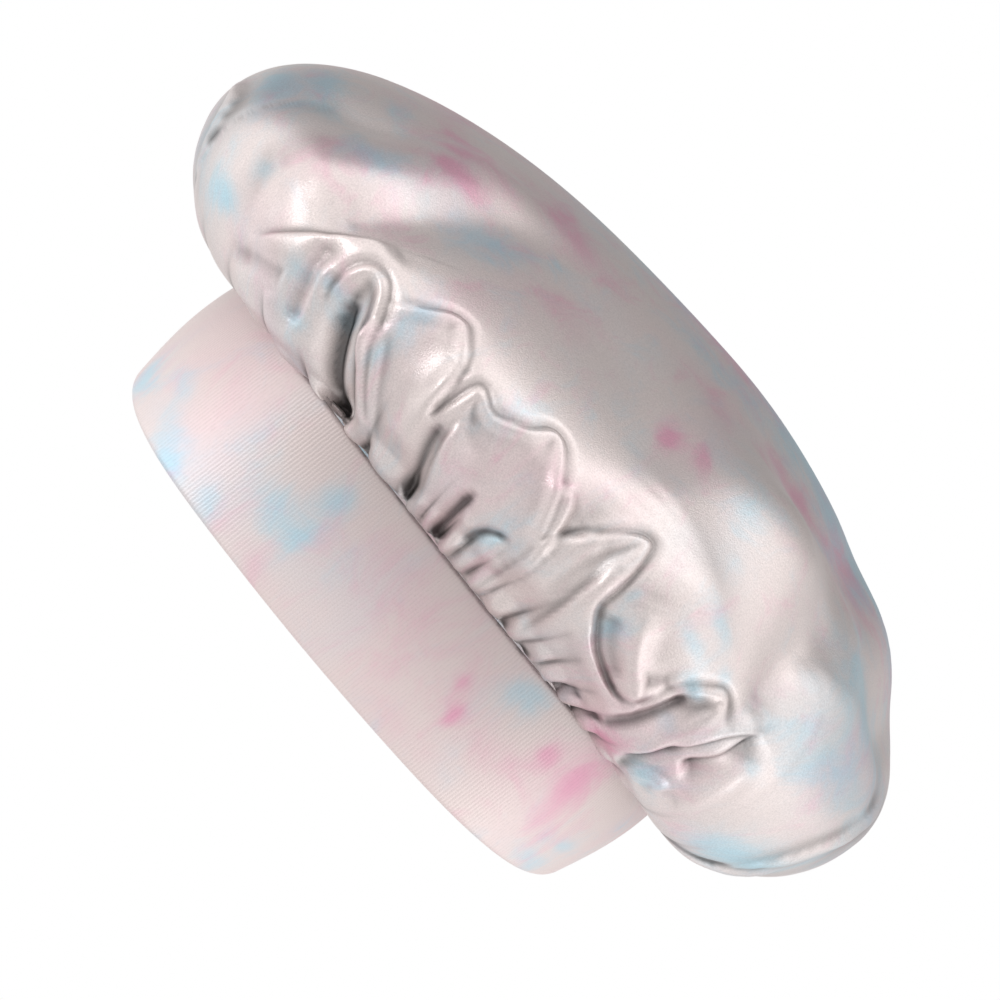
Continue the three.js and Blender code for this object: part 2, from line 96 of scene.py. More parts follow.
# The band's rim: how much higher than its lowest point, how far it turns out (below zero: in),
# and how far the band swells out halfway up (mm).
RIM = table(
    "deg rise flare belly",
    (-180, 2.0, 1.5, 0.5),
    (-100, 2.5, 0.4, 2.6),
    (-65, 0.8, 0.2, 2.4),
    (-42, 0.0, 1.2, 0.8),
    (-20, 0.4, 0.8, 0.2),
    (0, 0.8, 0.5, 0.2),
    (22, 2.2, 0.2, 0.2),
    (45, 3.8, -0.6, 0.4),
    (68, 5.6, -1.6, 1.8),
    (95, 7.0, -1.8, 2.2),
    (135, 5.0, -0.6, 0.8),
    (180, 2.0, 1.5, 0.5),
)


# Places on the cloth are degrees round the head and millimetres up from the seam.
# Full places and dents: centre, half width and half height, and rise (mm).
SWELLS = table(
    "deg up wide tall rise",
    (31, 123, 30, 27, 6.0),
    (24.3, 64, 15, 14, 3.0),
    (-3.4, 128.2, 46, 22, -1.0),
    (-62, 54.3, 16, 20, 2.5),
    (62, 57.8, 22, 22, 2.0),
    (7.8, 54, 8, 13, -4.0),
    (-21.2, 12, 3, 4, 1.2),
    (4.2, 14, 4, 6, 2.6),
    (41.4, 46.5, 4, 6, 1.6),
    # dark holes at the feet of the folds
    (-27.8, 4, 3.4, 8, -9.0),
    (-19.6, 2, 1.8, 4, -4.0),
    (-10.3, 4, 2.2, 8, -6.0),
    (-3, 3, 1.8, 6, -4.0),
    (14.8, 1, 1.6, 4, -3.0),
    (19.8, 2, 2.0, 3, -5.0),
    (26.4, 3, 2.4, 5, -6.0),
    (30.4, 3, 2.4, 5, -6.0),
    (35.2, 3, 2.4, 6, -6.0),
    (40, 1, 2.4, 4, -4.0),
)

# Full places and hollows of the top: middle across and from front to back, half sizes and rise (mm).
MOUNDS = table(
    "x y wide deep rise",
    (20, 5, 44, 75, 3.8),
    (72, 10, 7, 60, -1.6),
    (92, 0, 13, 60, 2.6),
    (114, 0, 10, 60, -3.6),
    (-52, 20, 30, 60, 0.6),
)

# Arched gathers over the band: the foot and apex that the middle line runs between (degrees) and
# how high it reaches (mm), half width at the foot and above it (degrees), the bow of the middle
# line, how square the top is, the groove and the rim round it (mm), how soft these are, and the
# depth of the hollow inside and how far in it is full (mm).
ARCHES = table(
    "foot apex top foot_half half bow square groove rim soft pocket reach",
    (-25.4, -31.6, 56, 6.4, 4.6, 1.0, 4.0, 1.3, 1.0, 1.5, 7.5, 7.0),
)

# The line over the gathers at the front, where the full cloth folds down over them:
# its course on the cloth, and its groove, the rim under it and the hollow inside (mm).
GATHER_LINE = table(
    "deg up groove rim pocket",
    (-28.25, 48.75, 0, 0, 0),
    (-24.5, 57, 1, 0.6, 1.5),
    (-22.9, 62.6, 1, 0.6, 1.8),
    (-21.25, 65, 1.1, 0.75, 2),
    (-19.6, 63.9, 1.2, 0.75, 2),
    (-15.75, 53.5, 1.3, 0.75, 2),
    (-13.75, 36.25, 1, 0.9, 0.5),
    (-12.75, 50, 1.2, 0.9, 1),
    (-12, 53.25, 1.2, 0.9, 2.5),
    (-8.75, 50.5, 1.1, 0.68, 2),
    (-5, 57.75, 1.1, 0.75, 1.5),
    (-3.7, 64, 1.2, 0.8, 2),
    (-2.25, 66.25, 1.2, 0.83, 2),
    (-0.5, 64.4, 1.2, 0.8, 2),
    (1.75, 57.25, 1.2, 0.75, 2),
    (4.75, 45.25, 1.2, 0.75, 2),
    (6.25, 38.25, 1, 0.75, 1),
    (7.5, 42.5, 1, 0.6, 1),
    (11.75, 58.5, 1.1, 0.75, 2),
    (13.6, 63.4, 1.3, 0.85, 2),
    (15, 65, 1.5, 0.9, 2),
    (15.75, 62, 1.6, 0.98, 1),
    (16.25, 46.5, 1.7, 0.75, 0),
    (17.25, 37.5, 1.6, 0.6, 0),
    (22, 28, 1.2, 0.6, 0),
    (28, 26.75, 1.2, 0.6, 0),
    (30.5, 34.5, 1.2, 0.6, 0),
    (31.25, 47.5, 1.2, 0.75, 2),
    (34.25, 56.25, 1.4, 0.9, 4),
    (35.75, 57.75, 1.4, 0.9, 4),
    (36.75, 56.5, 1.4, 0.8, 2.5),
    (37.75, 53, 0.9, 0.4, 0.5),
    (38.5, 50, 0, 0, 0),
)

# Long folds: start, middle and end on the cloth, height (mm, below zero for a valley),
# and the half widths of the left and right flanks (mm), seen along the fold.
FOLDS = table(
    "deg0 up0 deg1 up1 deg2 up2 height left right",
    # broad folds of the crown
    (-53.5, 50.5, -48.5, 92.5, -67.5, 151.5, 4, 15, 11),
    (-45.8, 51, -40, 93.5, -51.2, 154, -2.6, 9, 10),
    (13.8, 65.5, 23, 106, 55.8, 136, 2.8, 11, 26),
    (39, 132, 66.2, 125.5, 42.5, 64.5, 2.6, 10, 26),
    (42.5, 71.5, 64, 83, 79.2, 65.5, 3, 12, 20),
    (-69.9, 75.2, -62.8, 89, -58.9, 104, -2.5, 9.0, 9.0),
    (92, 143, 70.3, 118.4, 61.6, 100.2, 0.8, 1.4, 1.4),
    (109.4, 134.9, 109.5, 124.5, 105, 111.1, 0.8, 1.4, 1.4),
    (56.3, 115.1, 42.1, 84.3, 43.1, 56, -3.4, 7.0, 9.0),
    # left end
    (-33.8, 67, -39.2, 53, -48, 36, 3, 10, 1.4),
    (-51, 30.5, -43.5, 35.5, -39.5, 37, -1.5, 3, 5),
    (-86, 54.5, -73, 48, -66, 27, 2.2, 3.0, 2.0),
    (-71, 52.2, -68, 42, -69, 30, -1.2, 1.6, 1.6),
    # wedge left of the first arch
    (-38.2, 55.5, -37.2, 41.5, -35.5, 22.5, -2.6, 5, 4),
    (-37, 48, -34.2, 36.5, -33, 7.5, 1.8, 1.3, 4),
    (-41, 30.5, -40.2, 20, -39.5, 8.5, 1.2, 4, 1),
    # inside the first arch
    (-32.2, 49.5, -30, 22, -26.5, 0, -6.5, 3, 5.5),
    (-27.8, 44.5, -25, 27, -22.6, 0, 3.6, 3, 2),
    (-25.8, 34, -24.5, 17, -25.5, 0, -1.6, 3, 3),
    (-26.5, 45, -22.2, 28, -18.5, 0, 2.2, 1.6, 7),
    # between the second and third
    (-15.4, 52.5, -14.7, 34, -14.4, 12, 2.4, 2.0, 5.0),
    # inside the third
    (-10.6, 46.1, -8.8, 21, -6.2, 0, 3.2, 8.0, 1.3),
    (-12.2, 40, -11.6, 22, -9.8, 1, -2.5, 2.0, 2.0),
    # inside the fourth
    (3.4, 57.1, 6.5, 42, 8.5, 13, 2.4, 1.8, 6.0),
    (7.2, 44, 8.2, 15, 9, 0, 2.2, 7.0, 1.2),
    (-3.1, 31, -3.2, 13, -2.6, 0, -4.0, 1.5, 2.2),
    (-1.6, 22, -0.6, 10, 0.2, 0, 1.6, 3.0, 1.2),
    (0.9, 8, 1.4, 20, 4.7, 28, -2.2, 1.6, 2.2),
    # inside the fifth
    (13.9, 54.5, 15.3, 29, 17.8, 0, 3.0, 7.0, 1.2),
    (10.9, 53.4, 10, 38.6, 10.6, 16, 1.6, 4.0, 4.0),
    # hanging part between the fifth and sixth
    (19.5, 54, 24.8, 38, 30.8, 35, 3.4, 5, 5),
    (18, 43, 21.8, 34, 27.5, 31, -2, 5, 4),
    (29.8, 47, 28.8, 42, 27.8, 39, -1.6, 3, 3),
    (18, 32, 23.5, 24, 31, 27.5, 1.6, 2, 5),
    (28.2, 14.5, 28, 7, 28.2, 0, -3, 1.4, 2.6),
    (31.8, 19, 31.8, 9, 32.5, 1, -3, 1.4, 2.6),
    # inside the sixth, and the long fold right of it
    (44.2, 61, 38, 47.5, 35.8, 17, 3, 1.2, 4),
    (43.6, 60, 41.8, 46.5, 40, 36, -3.2, 6, 2),
    (36, 55, 35.5, 45, 35, 14.5, 1.8, 2.4, 3),
    (33, 49.5, 32.2, 34.5, 32.5, 8.5, -3.4, 2.4, 3),
    (38, 41, 36.8, 29.5, 40.2, 10, -2.2, 3, 2.6),
    (43.2, 29, 40, 24.5, 41.2, 11, 2.2, 3.4, 2.2),
    (44.5, 52, 45.8, 42, 45, 30, 1.6, 4, 7),
    # right end
    (89.9, 67.1, 68, 51.9, 65, 23.5, 2.6, 5.0, 2.2),
    (64.8, 42, 63.6, 30, 52.5, 13.5, -2.0, 2.4, 3.0),
    (68.7, 40, 67, 28, 54, 16, 1.6, 2.4, 3.0),
)

# Small pleats at the seam: the valleys that show at the front (degrees), then even ones round the
# back, which stray a little from their places.
FRONT_VALLEYS = (
    -60, -50, -41, -33, -25, -19.5, -11, -6, -2, 1.5, 5, 9, 14, 18.3, 22.3, 27, 31, 35, 40.5, 48, 56, 66,
)
BACK_PLEATS = 18
PLEAT_WOBBLE = 1.6
WOBBLE_TURNS = 2.3
# A pleat's height grows with its width (degrees) up to a widest one. It starts at the seam and
# fades further up, at the back later than at the front.
PLEAT_DEPTH = 0.35
PLEAT_GROWTH = 0.9
WIDEST_PLEAT = 9.0
PLEAT_ROUND = 0.8
PLEAT_LEVEL = 0.35
PLEAT_START = (-3.0, 9.0)
PLEAT_FADE = (8.0, 34.0)
BACK_FADE = 55.0
BACK_TURN = (70.0, 105.0)
# The valleys are pinched in a little way above the seam.
PLEAT_PINCH = 1.4
PINCH_START = (0.0, 4.0)
PINCH_END = (6.0, 18.0)
# The lip that a pleat hangs over the band's edge: its drop, its reach outwards as a share of that,
# and where it starts and ends up the cloth.
LOBE = 1.5
LOBE_OUT = 1.2
LOBE_START = (0.0, 2.5)
LOBE_END = (3.5, 12.0)

# Where folds and gathers fade towards the seam, and towards the middle of the top.
FOOT_FADE = (2.0, 16.0)
TOP_FADE = 30.0
# Where the full places of the top start.
MOUND_START = (55.0, 90.0)
# Folds lift the cloth straight outwards below the first height and square to its face over the second.
LIFT_TURNS = (24.0, 66.0)
# Small steps across (degrees) and up (mm), by which the cloth's own direction is found.
ACROSS_STEP = 0.5
UP_STEP = 0.7
# Further than any place on the cloth lies from another (mm).
FAR = 1e9


def turn(deg):
    """The same direction round the head, from -180 to 180."""
    return (deg + 180.0) % 360.0 - 180.0


def ease(start, end, x):
    """Rises smoothly from 0 at the start to 1 at the end."""
    t = np.clip((x - start) / (end - start), 0.0, 1.0)
    return t * t * (3.0 - 2.0 * t)


def bezier(a, b, c, d, t):
    """A curve from a to d that is drawn towards b and c on its way."""
    s = 1.0 - t
    return s**3 * a + 3 * s * s * t * b + 3 * s * t * t * c + t**3 * d


def round_head(radius, deg, z):
    """Points at a distance and in a direction round the head, 0 being the front."""
    angle = np.radians(deg)
    return np.stack([radius * np.sin(angle), -radius * np.cos(angle), z], -1)


def plan_radius(deg):
    """Radius of the band's outer face at the seam."""
    across = np.abs(np.sin(np.radians(deg))) / BAND["half_width"]
    along = np.cos(np.radians(deg))
    depth = np.where(along > 0, BAND["front"], BAND["back"])
    power = np.where(along > 0, BAND["front_power"], BAND["back_power"])
    return (across**power + (np.abs(along) / depth) ** power) ** (-1.0 / power)


def rows_at(rows, names, deg):
    """Smooth curves through the rows of a table that closes round the back."""
    knots = np.array([row["deg"] for row in rows], float)
    values = np.array([[row[name] for name in names.split()] for row in rows[:-1]], float)
    n = len(values)
    i = np.clip(np.searchsorted(knots, deg, side="right") - 1, 0, n - 1)
    width = knots[i + 1] - knots[i]
    f = ((deg - knots[i]) / width)[..., None]
    width = width[..., None]

    def slope(j):
        before, after = (j - 1) % n, (j + 1) % n
        span = (knots[j % n] - knots[before]) % 360 + (knots[after] - knots[j % n]) % 360
        return (values[after] - values[before]) / span[..., None]

    j, k = i % n, (i + 1) % n
    mixed = (
        (2 * f**3 - 3 * f**2 + 1) * values[j]
        + (f**3 - 2 * f**2 + f) * width * slope(j)
        + (3 * f**2 - 2 * f**3) * values[k]
        + (f**3 - f**2) * width * slope(k)
    )
    return np.moveaxis(mixed, -1, 0)


def over_curve(reach, wide, shoulder, crown, t):
    """Radius and height along the upper side of the puff, from its widest line to the top."""
    radius = bezier(reach, reach, crown * reach, 0.0, t)
    height = bezier(wide, wide + shoulder * (TOP_Z - wide), TOP_Z, TOP_Z, t)
    return radius, height


def even_along(curve, share):
    """The curve's own parameter at a share of its length."""
    points = [curve(i / EVEN_STEPS) for i in range(EVEN_STEPS + 1)]
    steps = [np.hypot(b[0] - a[0], b[1] - a[1]) for a, b in zip(points, points[1:])]
    left = share * sum(steps)
    t = np.zeros(np.shape(share))
    for step in steps:
        t = t + np.clip(left / step, 0.0, 1.0) / EVEN_STEPS
        left = left - step
    return t


def plain_puff(deg, up):
    """The puff without folds, as points in millimetres."""
    reach, wide, sag, shoulder, crown = rows_at(SECTIONS, "reach wide sag shoulder crown", turn(deg))
    seam = plan_radius(deg) + SEAM_OUT
    share = np.clip(up / CLOTH, 0.0, 1.0)
    t = np.clip(share / UNDER_SHARE, 0.0, 1.0)
    radius_under = bezier(seam, seam + UNDER_OUT * (reach - seam), reach, reach, t)
    lifted = wide - UNDER_LIFT * (wide - SEAM_Z) - UNDER_SAG * sag
    z_under = bezier(SEAM_Z, SEAM_Z - sag, lifted, wide, t)
    share_over = np.clip((share - UNDER_SHARE) / (1.0 - UNDER_SHARE), 0.0, 1.0)
    t = even_along(lambda s: over_curve(reach, wide, shoulder, crown, s), share_over)
    radius_over, z_over = over_curve(reach, wide, shoulder, crown, t)
    under = share <= UNDER_SHARE
    radius = np.where(under, radius_under, radius_over)
    return round_head(radius, deg, np.where(under, z_under, z_over))


def spot(row, deg, up, per_degree):
    """Falls smoothly from 1 at a place on the cloth to 0 round it."""
    x = turn(deg - row["deg"]) * per_degree / row["wide"]
    y = (up - row["up"]) / row["tall"]
    return np.exp(-x * x - y * y)


def mound(row, x, y):
    """A full place or a hollow of the top, set by its place across and from front to back."""
    across = (x - row["x"]) / row["wide"]
    back = (y - row["y"]) / row["deep"]
    return row["rise"] * np.exp(-across * across - back * back)


# An arched gather: the share of its height up to which its middle line leans on, and the share by
# which it is fully wide; where its hollow starts over the seam and at its edge (mm), and how much
# shallower the hollow is near the apex, and from which share of the height on.
LEAN_END = 1.3
WIDE_BY = 0.65
HOLLOW_FOOT = 12.0
HOLLOW_EDGE = -0.5
APEX_SHALLOW = 0.65
SHALLOW_FROM = 0.3


def arch(row, deg, up, per_degree):
    """An arched gather: the groove and rim along its edge, and the hollow inside."""
    v = np.clip(up / row["top"], 0.0, None)
    middle = row["foot"] + (row["apex"] - row["foot"]) * np.minimum(v, LEAN_END) ** row["bow"]
    half = row["foot_half"] + (row["half"] - row["foot_half"]) * ease(0.0, WIDE_BY, v)
    q = turn(deg - middle) / half
    level = np.sqrt(np.maximum(q * q + v ** row["square"], 1e-9))
    across = q / level / (half * per_degree)
    upward = 0.5 * row["square"] * v ** (row["square"] - 1) / level / row["top"]
    inside = (1.0 - level) / (np.hypot(across, upward) + 1e-6)
    edge = hem(inside, row["soft"], row["groove"], row["rim"], 0.0) * ease(*FOOT_FADE, up)
    shallow = 1.0 - APEX_SHALLOW * ease(SHALLOW_FROM, 1.0, v)
    hollow = row["pocket"] * ease(HOLLOW_EDGE, row["reach"], inside) * shallow
    return edge - hollow * ease(0, HOLLOW_FOOT, up)


# The line over the gathers: points for each row, half width of its groove (mm), how far its ends
# fade out (degrees), and the distance from it over which it fades (mm).
LINE_STEPS = 3
LINE_SOFT = 1.5
LINE_FADE = 5.0
LINE_REACH = (20.0, 45.0)
# The rim's half widths outside and inside, where the cloth steps down, and how far out of the
# edge the groove lies as a share of its half width.
RIM_FLANKS = (2.0, 5.5)
STEP_REACH = (-1.0, 6.0)
GROOVE_OUT = 0.7


def line_points():
    """Points along the line over the gathers, on smooth curves through its rows."""
    rows = np.array([list(row.values()) for row in GATHER_LINE])
    before = np.concatenate([rows[:1], rows[:-2]])
    after = np.concatenate([rows[2:], rows[-1:]])
    points = []
    for a, b, c, d in zip(before, rows[:-1], rows[1:], after):
        for i in range(LINE_STEPS):
            f = i / LINE_STEPS
            bend = 2 * a - 5 * b + 4 * c - d + f * (3 * (b - c) + d - a)
            points.append(b + 0.5 * f * (c - a + f * bend))
    return np.array(points + [rows[-1]])


LINE_POINTS = line_points()


def hem(inside, soft, groove, rim, pocket):
    """Profile across the edge of a gather: a groove, a rim that falls off slowly, and a step down."""
    past = inside - soft
    flank = np.where(past < 0, *RIM_FLANKS)
    return (
        rim * np.exp(-((past / flank) ** 2))
        - groove * np.exp(-((inside / soft + GROOVE_OUT) ** 2))
        - pocket * ease(*STEP_REACH, inside)
    )


def on_stretch(px, py, dx, dy):
    """Where a place is nearest to a straight stretch, as a share of its length, and how far off."""
    t = np.clip((px * dx + py * dy) / (dx * dx + dy * dy), 0.0, 1.0)
    return t, np.hypot(px - t * dx, py - t * dy)


def closeness(distance):
    """Weight of a stretch of a line: near ones count far more, and none starts or ends with a step."""
    return 1.0 / (distance * distance + 1.0) ** 3


def gather_line(deg, up, per_degree):
    """The line over the gathers at the front, with its groove, rim and hollow."""
    deg = turn(deg)
    nearest = np.full(deg.shape, FAR)
    total = np.zeros(deg.shape)
    found = np.zeros(deg.shape + (3,))
    for a, b in zip(LINE_POINTS, LINE_POINTS[1:]):
        dx = (b[0] - a[0]) * per_degree
        dy = b[1] - a[1]
        t, distance = on_stretch((deg - a[0]) * per_degree, up - a[1], dx, dy)
        nearest = np.minimum(nearest, distance)
        weight = closeness(distance)
        total = total + weight
        found = found + weight[..., None] * (a[2:] + t[..., None] * (b[2:] - a[2:]))
    under = up < np.interp(deg, LINE_POINTS[:, 0], LINE_POINTS[:, 1])
    inside = np.where(under, nearest, -nearest)
    groove, rim, pocket = np.moveaxis(found / total[..., None], -1, 0)
    first, last = LINE_POINTS[0, 0], LINE_POINTS[-1, 0]
    shown = ease(first - LINE_FADE, first, deg) * (1.0 - ease(last, last + LINE_FADE, deg))
    shown = shown * ease(*FOOT_FADE, up) * (1.0 - ease(*LINE_REACH, nearest))
    return hem(inside, LINE_SOFT, groove, rim, pocket) * shown


# A long fold: straight stretches of its middle line, and the share of its length over which
# each end fades.
FOLD_STEPS = 14
FOLD_END = (-0.02, 0.22)


def fold(row, deg, up, per_degree):
    """A ridge or a valley along a curve through three places."""
    def through(name, s):
        a, b, c = (row[name + end] for end in "012")
        return (1 - s) ** 2 * a + 2 * s * (1 - s) * (2 * b - (a + c) / 2) + s * s * c

    def heading(name, s):
        a, b, c = (row[name + end] for end in "012")
        return (1 - s) * (4 * b - 3 * a - c) + s * (a + 3 * c - 4 * b)

    nearest = np.full(deg.shape, FAR)
    total = np.zeros(deg.shape)
    found = np.zeros(deg.shape)
    for i in range(FOLD_STEPS):
        start, end = i / FOLD_STEPS, (i + 1) / FOLD_STEPS
        x, y = through("deg", start), through("up", start)
        dx = (through("deg", end) - x) * per_degree
        dy = through("up", end) - y
        t, distance = on_stretch(turn(deg - x) * per_degree, up - y, dx, dy)
        nearest = np.minimum(nearest, distance)
        weight = closeness(distance)
        total = total + weight
        found = found + weight * (i + t) / FOLD_STEPS
    along = found / total
    px = turn(deg - through("deg", along)) * per_degree
    py = up - through("up", along)
    side = heading("deg", along) * per_degree * py - heading("up", along) * px
    flank = np.where(side > 0, row["left"], row["right"])
    ends = ease(*FOLD_END, along) * (1.0 - ease(1.0 - FOLD_END[1], 1.0 - FOLD_END[0], along))
    return row["height"] * np.exp(-((nearest / flank) ** 2)) * ends


def seam_valleys():
    """Directions of all pleat valleys, once round from the first one at the front."""
    start, end = FRONT_VALLEYS[-1], FRONT_VALLEYS[0] + 360.0
    spaced = start + (end - start) * np.arange(1, BACK_PLEATS) / BACK_PLEATS
    back = spaced + PLEAT_WOBBLE * np.sin(spaced * WOBBLE_TURNS)
    return np.concatenate([FRONT_VALLEYS, back, [end]])


VALLEYS = seam_valleys()


def pleat_hump(deg):
    """How far each place is from the pleat valleys, 0 to 1, and the pleat's width in degrees."""
    at = np.where(deg < VALLEYS[0], deg + 360.0, deg)
    i = np.clip(np.searchsorted(VALLEYS, at, side="right") - 1, 0, len(VALLEYS) - 2)
    width = VALLEYS[i + 1] - VALLEYS[i]
    return np.sin(np.pi * np.clip((at - VALLEYS[i]) / width, 0.0, 1.0)) ** PLEAT_ROUND, width


def pleat(deg, up):
    """The pleats that leave the seam."""
    hump, width = pleat_hump(deg)
    height = PLEAT_DEPTH * np.minimum(width, WIDEST_PLEAT) ** PLEAT_GROWTH
    pinch = PLEAT_PINCH * (1.0 - hump) ** 2 * ease(*PINCH_START, up) * (1.0 - ease(*PINCH_END, up))
    fade = PLEAT_FADE[1] + BACK_FADE * ease(*BACK_TURN, np.abs(turn(deg)))
    shown = ease(*PLEAT_START, up) * (1.0 - ease(PLEAT_FADE[0], fade, up))
    return (hump - PLEAT_LEVEL) * height * shown - pinch


def lobe(deg, up):
    """The little lip that each pleat hangs over the band's edge."""
    hump, _ = pleat_hump(deg)
    return LOBE * hump * ease(*LOBE_START, up) * (1.0 - ease(*LOBE_END, up))


def relief(deg, up, base):
    """Height of every pleat, gather and fold over the plain puff, together."""
    radius = np.hypot(base[..., 0], base[..., 1])
    per_degree = np.radians(np.maximum(radius, LEAST_RADIUS))
    height = pleat(deg, up)
    for row in SWELLS:
        height = height + row["rise"] * spot(row, deg, up, per_degree)
    for row in ARCHES:
        height = height + arch(row, deg, up, per_degree)
    height = height + gather_line(deg, up, per_degree)
    for row in FOLDS:
        height = height + fold(row, deg, up, per_degree)
    height = height * ease(0, TOP_FADE, CLOTH - up)
    top = ease(*MOUND_START, up)
    for row in MOUNDS:
        height = height + mound(row, base[..., 0], base[..., 1]) * top
    return height


def unit(v):
    """The same direction with a length of one."""
    return v / (np.linalg.norm(v, axis=-1, keepdims=True) + 1e-12)


def puff_points(deg, up, wall):
    """Points of the folded cloth, on its outer face or one wall inside it."""
    base = plain_puff(deg, up)
    off_top = np.minimum(up, CLOTH - 1)
    across = plain_puff(deg + ACROSS_STEP, off_top) - plain_puff(deg - ACROSS_STEP, off_top)
    upward = plain_puff(deg, np.minimum(up + UP_STEP, CLOTH)) - plain_puff(deg, np.maximum(up - UP_STEP, 0))
    normal = unit(np.cross(across, upward))
    outward = round_head(1.0, deg, np.zeros_like(deg))
    straight = (1.0 - ease(*LIFT_TURNS, up))[..., None]
    lift = unit(normal * (1 - straight) + outward * straight)
    height = relief(deg, up, base)
    drop = lobe(deg, up)
    droop = np.stack([np.zeros_like(drop), np.zeros_like(drop), drop], -1)
    return base + lift * (height + LOBE_OUT * drop)[..., None] - droop - normal * wall


def deselect():
    """Leaves edit mode and selects nothing."""
    if bpy.context.object and bpy.context.object.mode != "OBJECT":
        bpy.ops.object.mode_set(mode="OBJECT")
    bpy.ops.object.select_all(action="DESELECT")


def cloth_grid(name, first, second, place):
    """A flat grid whose vertices are set where place(first, second) says, and each vertex's two values."""
    deselect()
    bpy.ops.mesh.primitive_grid_add(x_subdivisions=len(first) - 1, y_subdivisions=len(second) - 1, size=1.0)
    piece = bpy.context.object
    piece.name = name
    mesh = piece.data
    flat = np.empty(len(mesh.vertices) * 3, np.float32)
    mesh.vertices.foreach_get("co", flat)
    flat = flat.reshape(-1, 3)
    i = np.rint((flat[:, 0] + 0.5) * (len(first) - 1)).astype(int)
    j = np.rint((flat[:, 1] + 0.5) * (len(second) - 1)).astype(int)
    a, b = np.asarray(first, float)[i], np.asarray(second, float)[j]
    points = place(a, b) * MM
    mesh.vertices.foreach_set("co", points.astype(np.float32).ravel())
    return piece, a, b


def set_cloth_uv(piece, flat_points):
    """Puts the place of each vertex on the flat cloth, in metres, in the piece's UV map."""
    mesh = piece.data
    corner = np.empty(len(mesh.loops), np.int32)
    mesh.loops.foreach_get("vertex_index", corner)
    uv = np.asarray(flat_points, np.float32)[corner] * MM
    mesh.uv_layers[0].name = "cloth"
    mesh.uv_layers[0].data.foreach_set("uv", uv.ravel())
    mesh.update()


def set_attribute(piece, name, values):
    """Gives each vertex a value that the materials read by name."""
    layer = piece.data.attributes.new(name, "FLOAT", "POINT")
    layer.data.foreach_set("value", np.asarray(values, np.float32))


def creases(height, along, tall):
    """How deep each place lies under the mean of its surroundings, 0 to 1, on two scales."""
    found = 0.0
    for reach, full in CREASE_REACH:
        mean = height
        for axis, step in ((0, tall), (1, along)):
            steps = max(int(round(reach / step)), 1)
            margins = [(0, 0), (0, 0)]
            margins[axis] = (steps + 1, steps)
            for _ in range(2):
                sums = np.cumsum(np.pad(mean, margins, "edge"), axis=axis)
                width = 2 * steps + 1
                upper = np.take(sums, range(width, sums.shape[axis]), axis)
                lower = np.take(sums, range(0, sums.shape[axis] - width), axis)
                mean = (upper - lower) / width
        found = found + np.clip((mean - height) / full, 0.0, 1.0)
    return np.clip(found, 0.0, 1.0)


def flat_circle(deg, up):
    """Where a place on the puff lies on the round cut of flat cloth, in millimetres."""
    angle = np.radians(deg)
    return np.stack([(CLOTH - up) * np.sin(angle), -(CLOTH - up) * np.cos(angle)], -1)


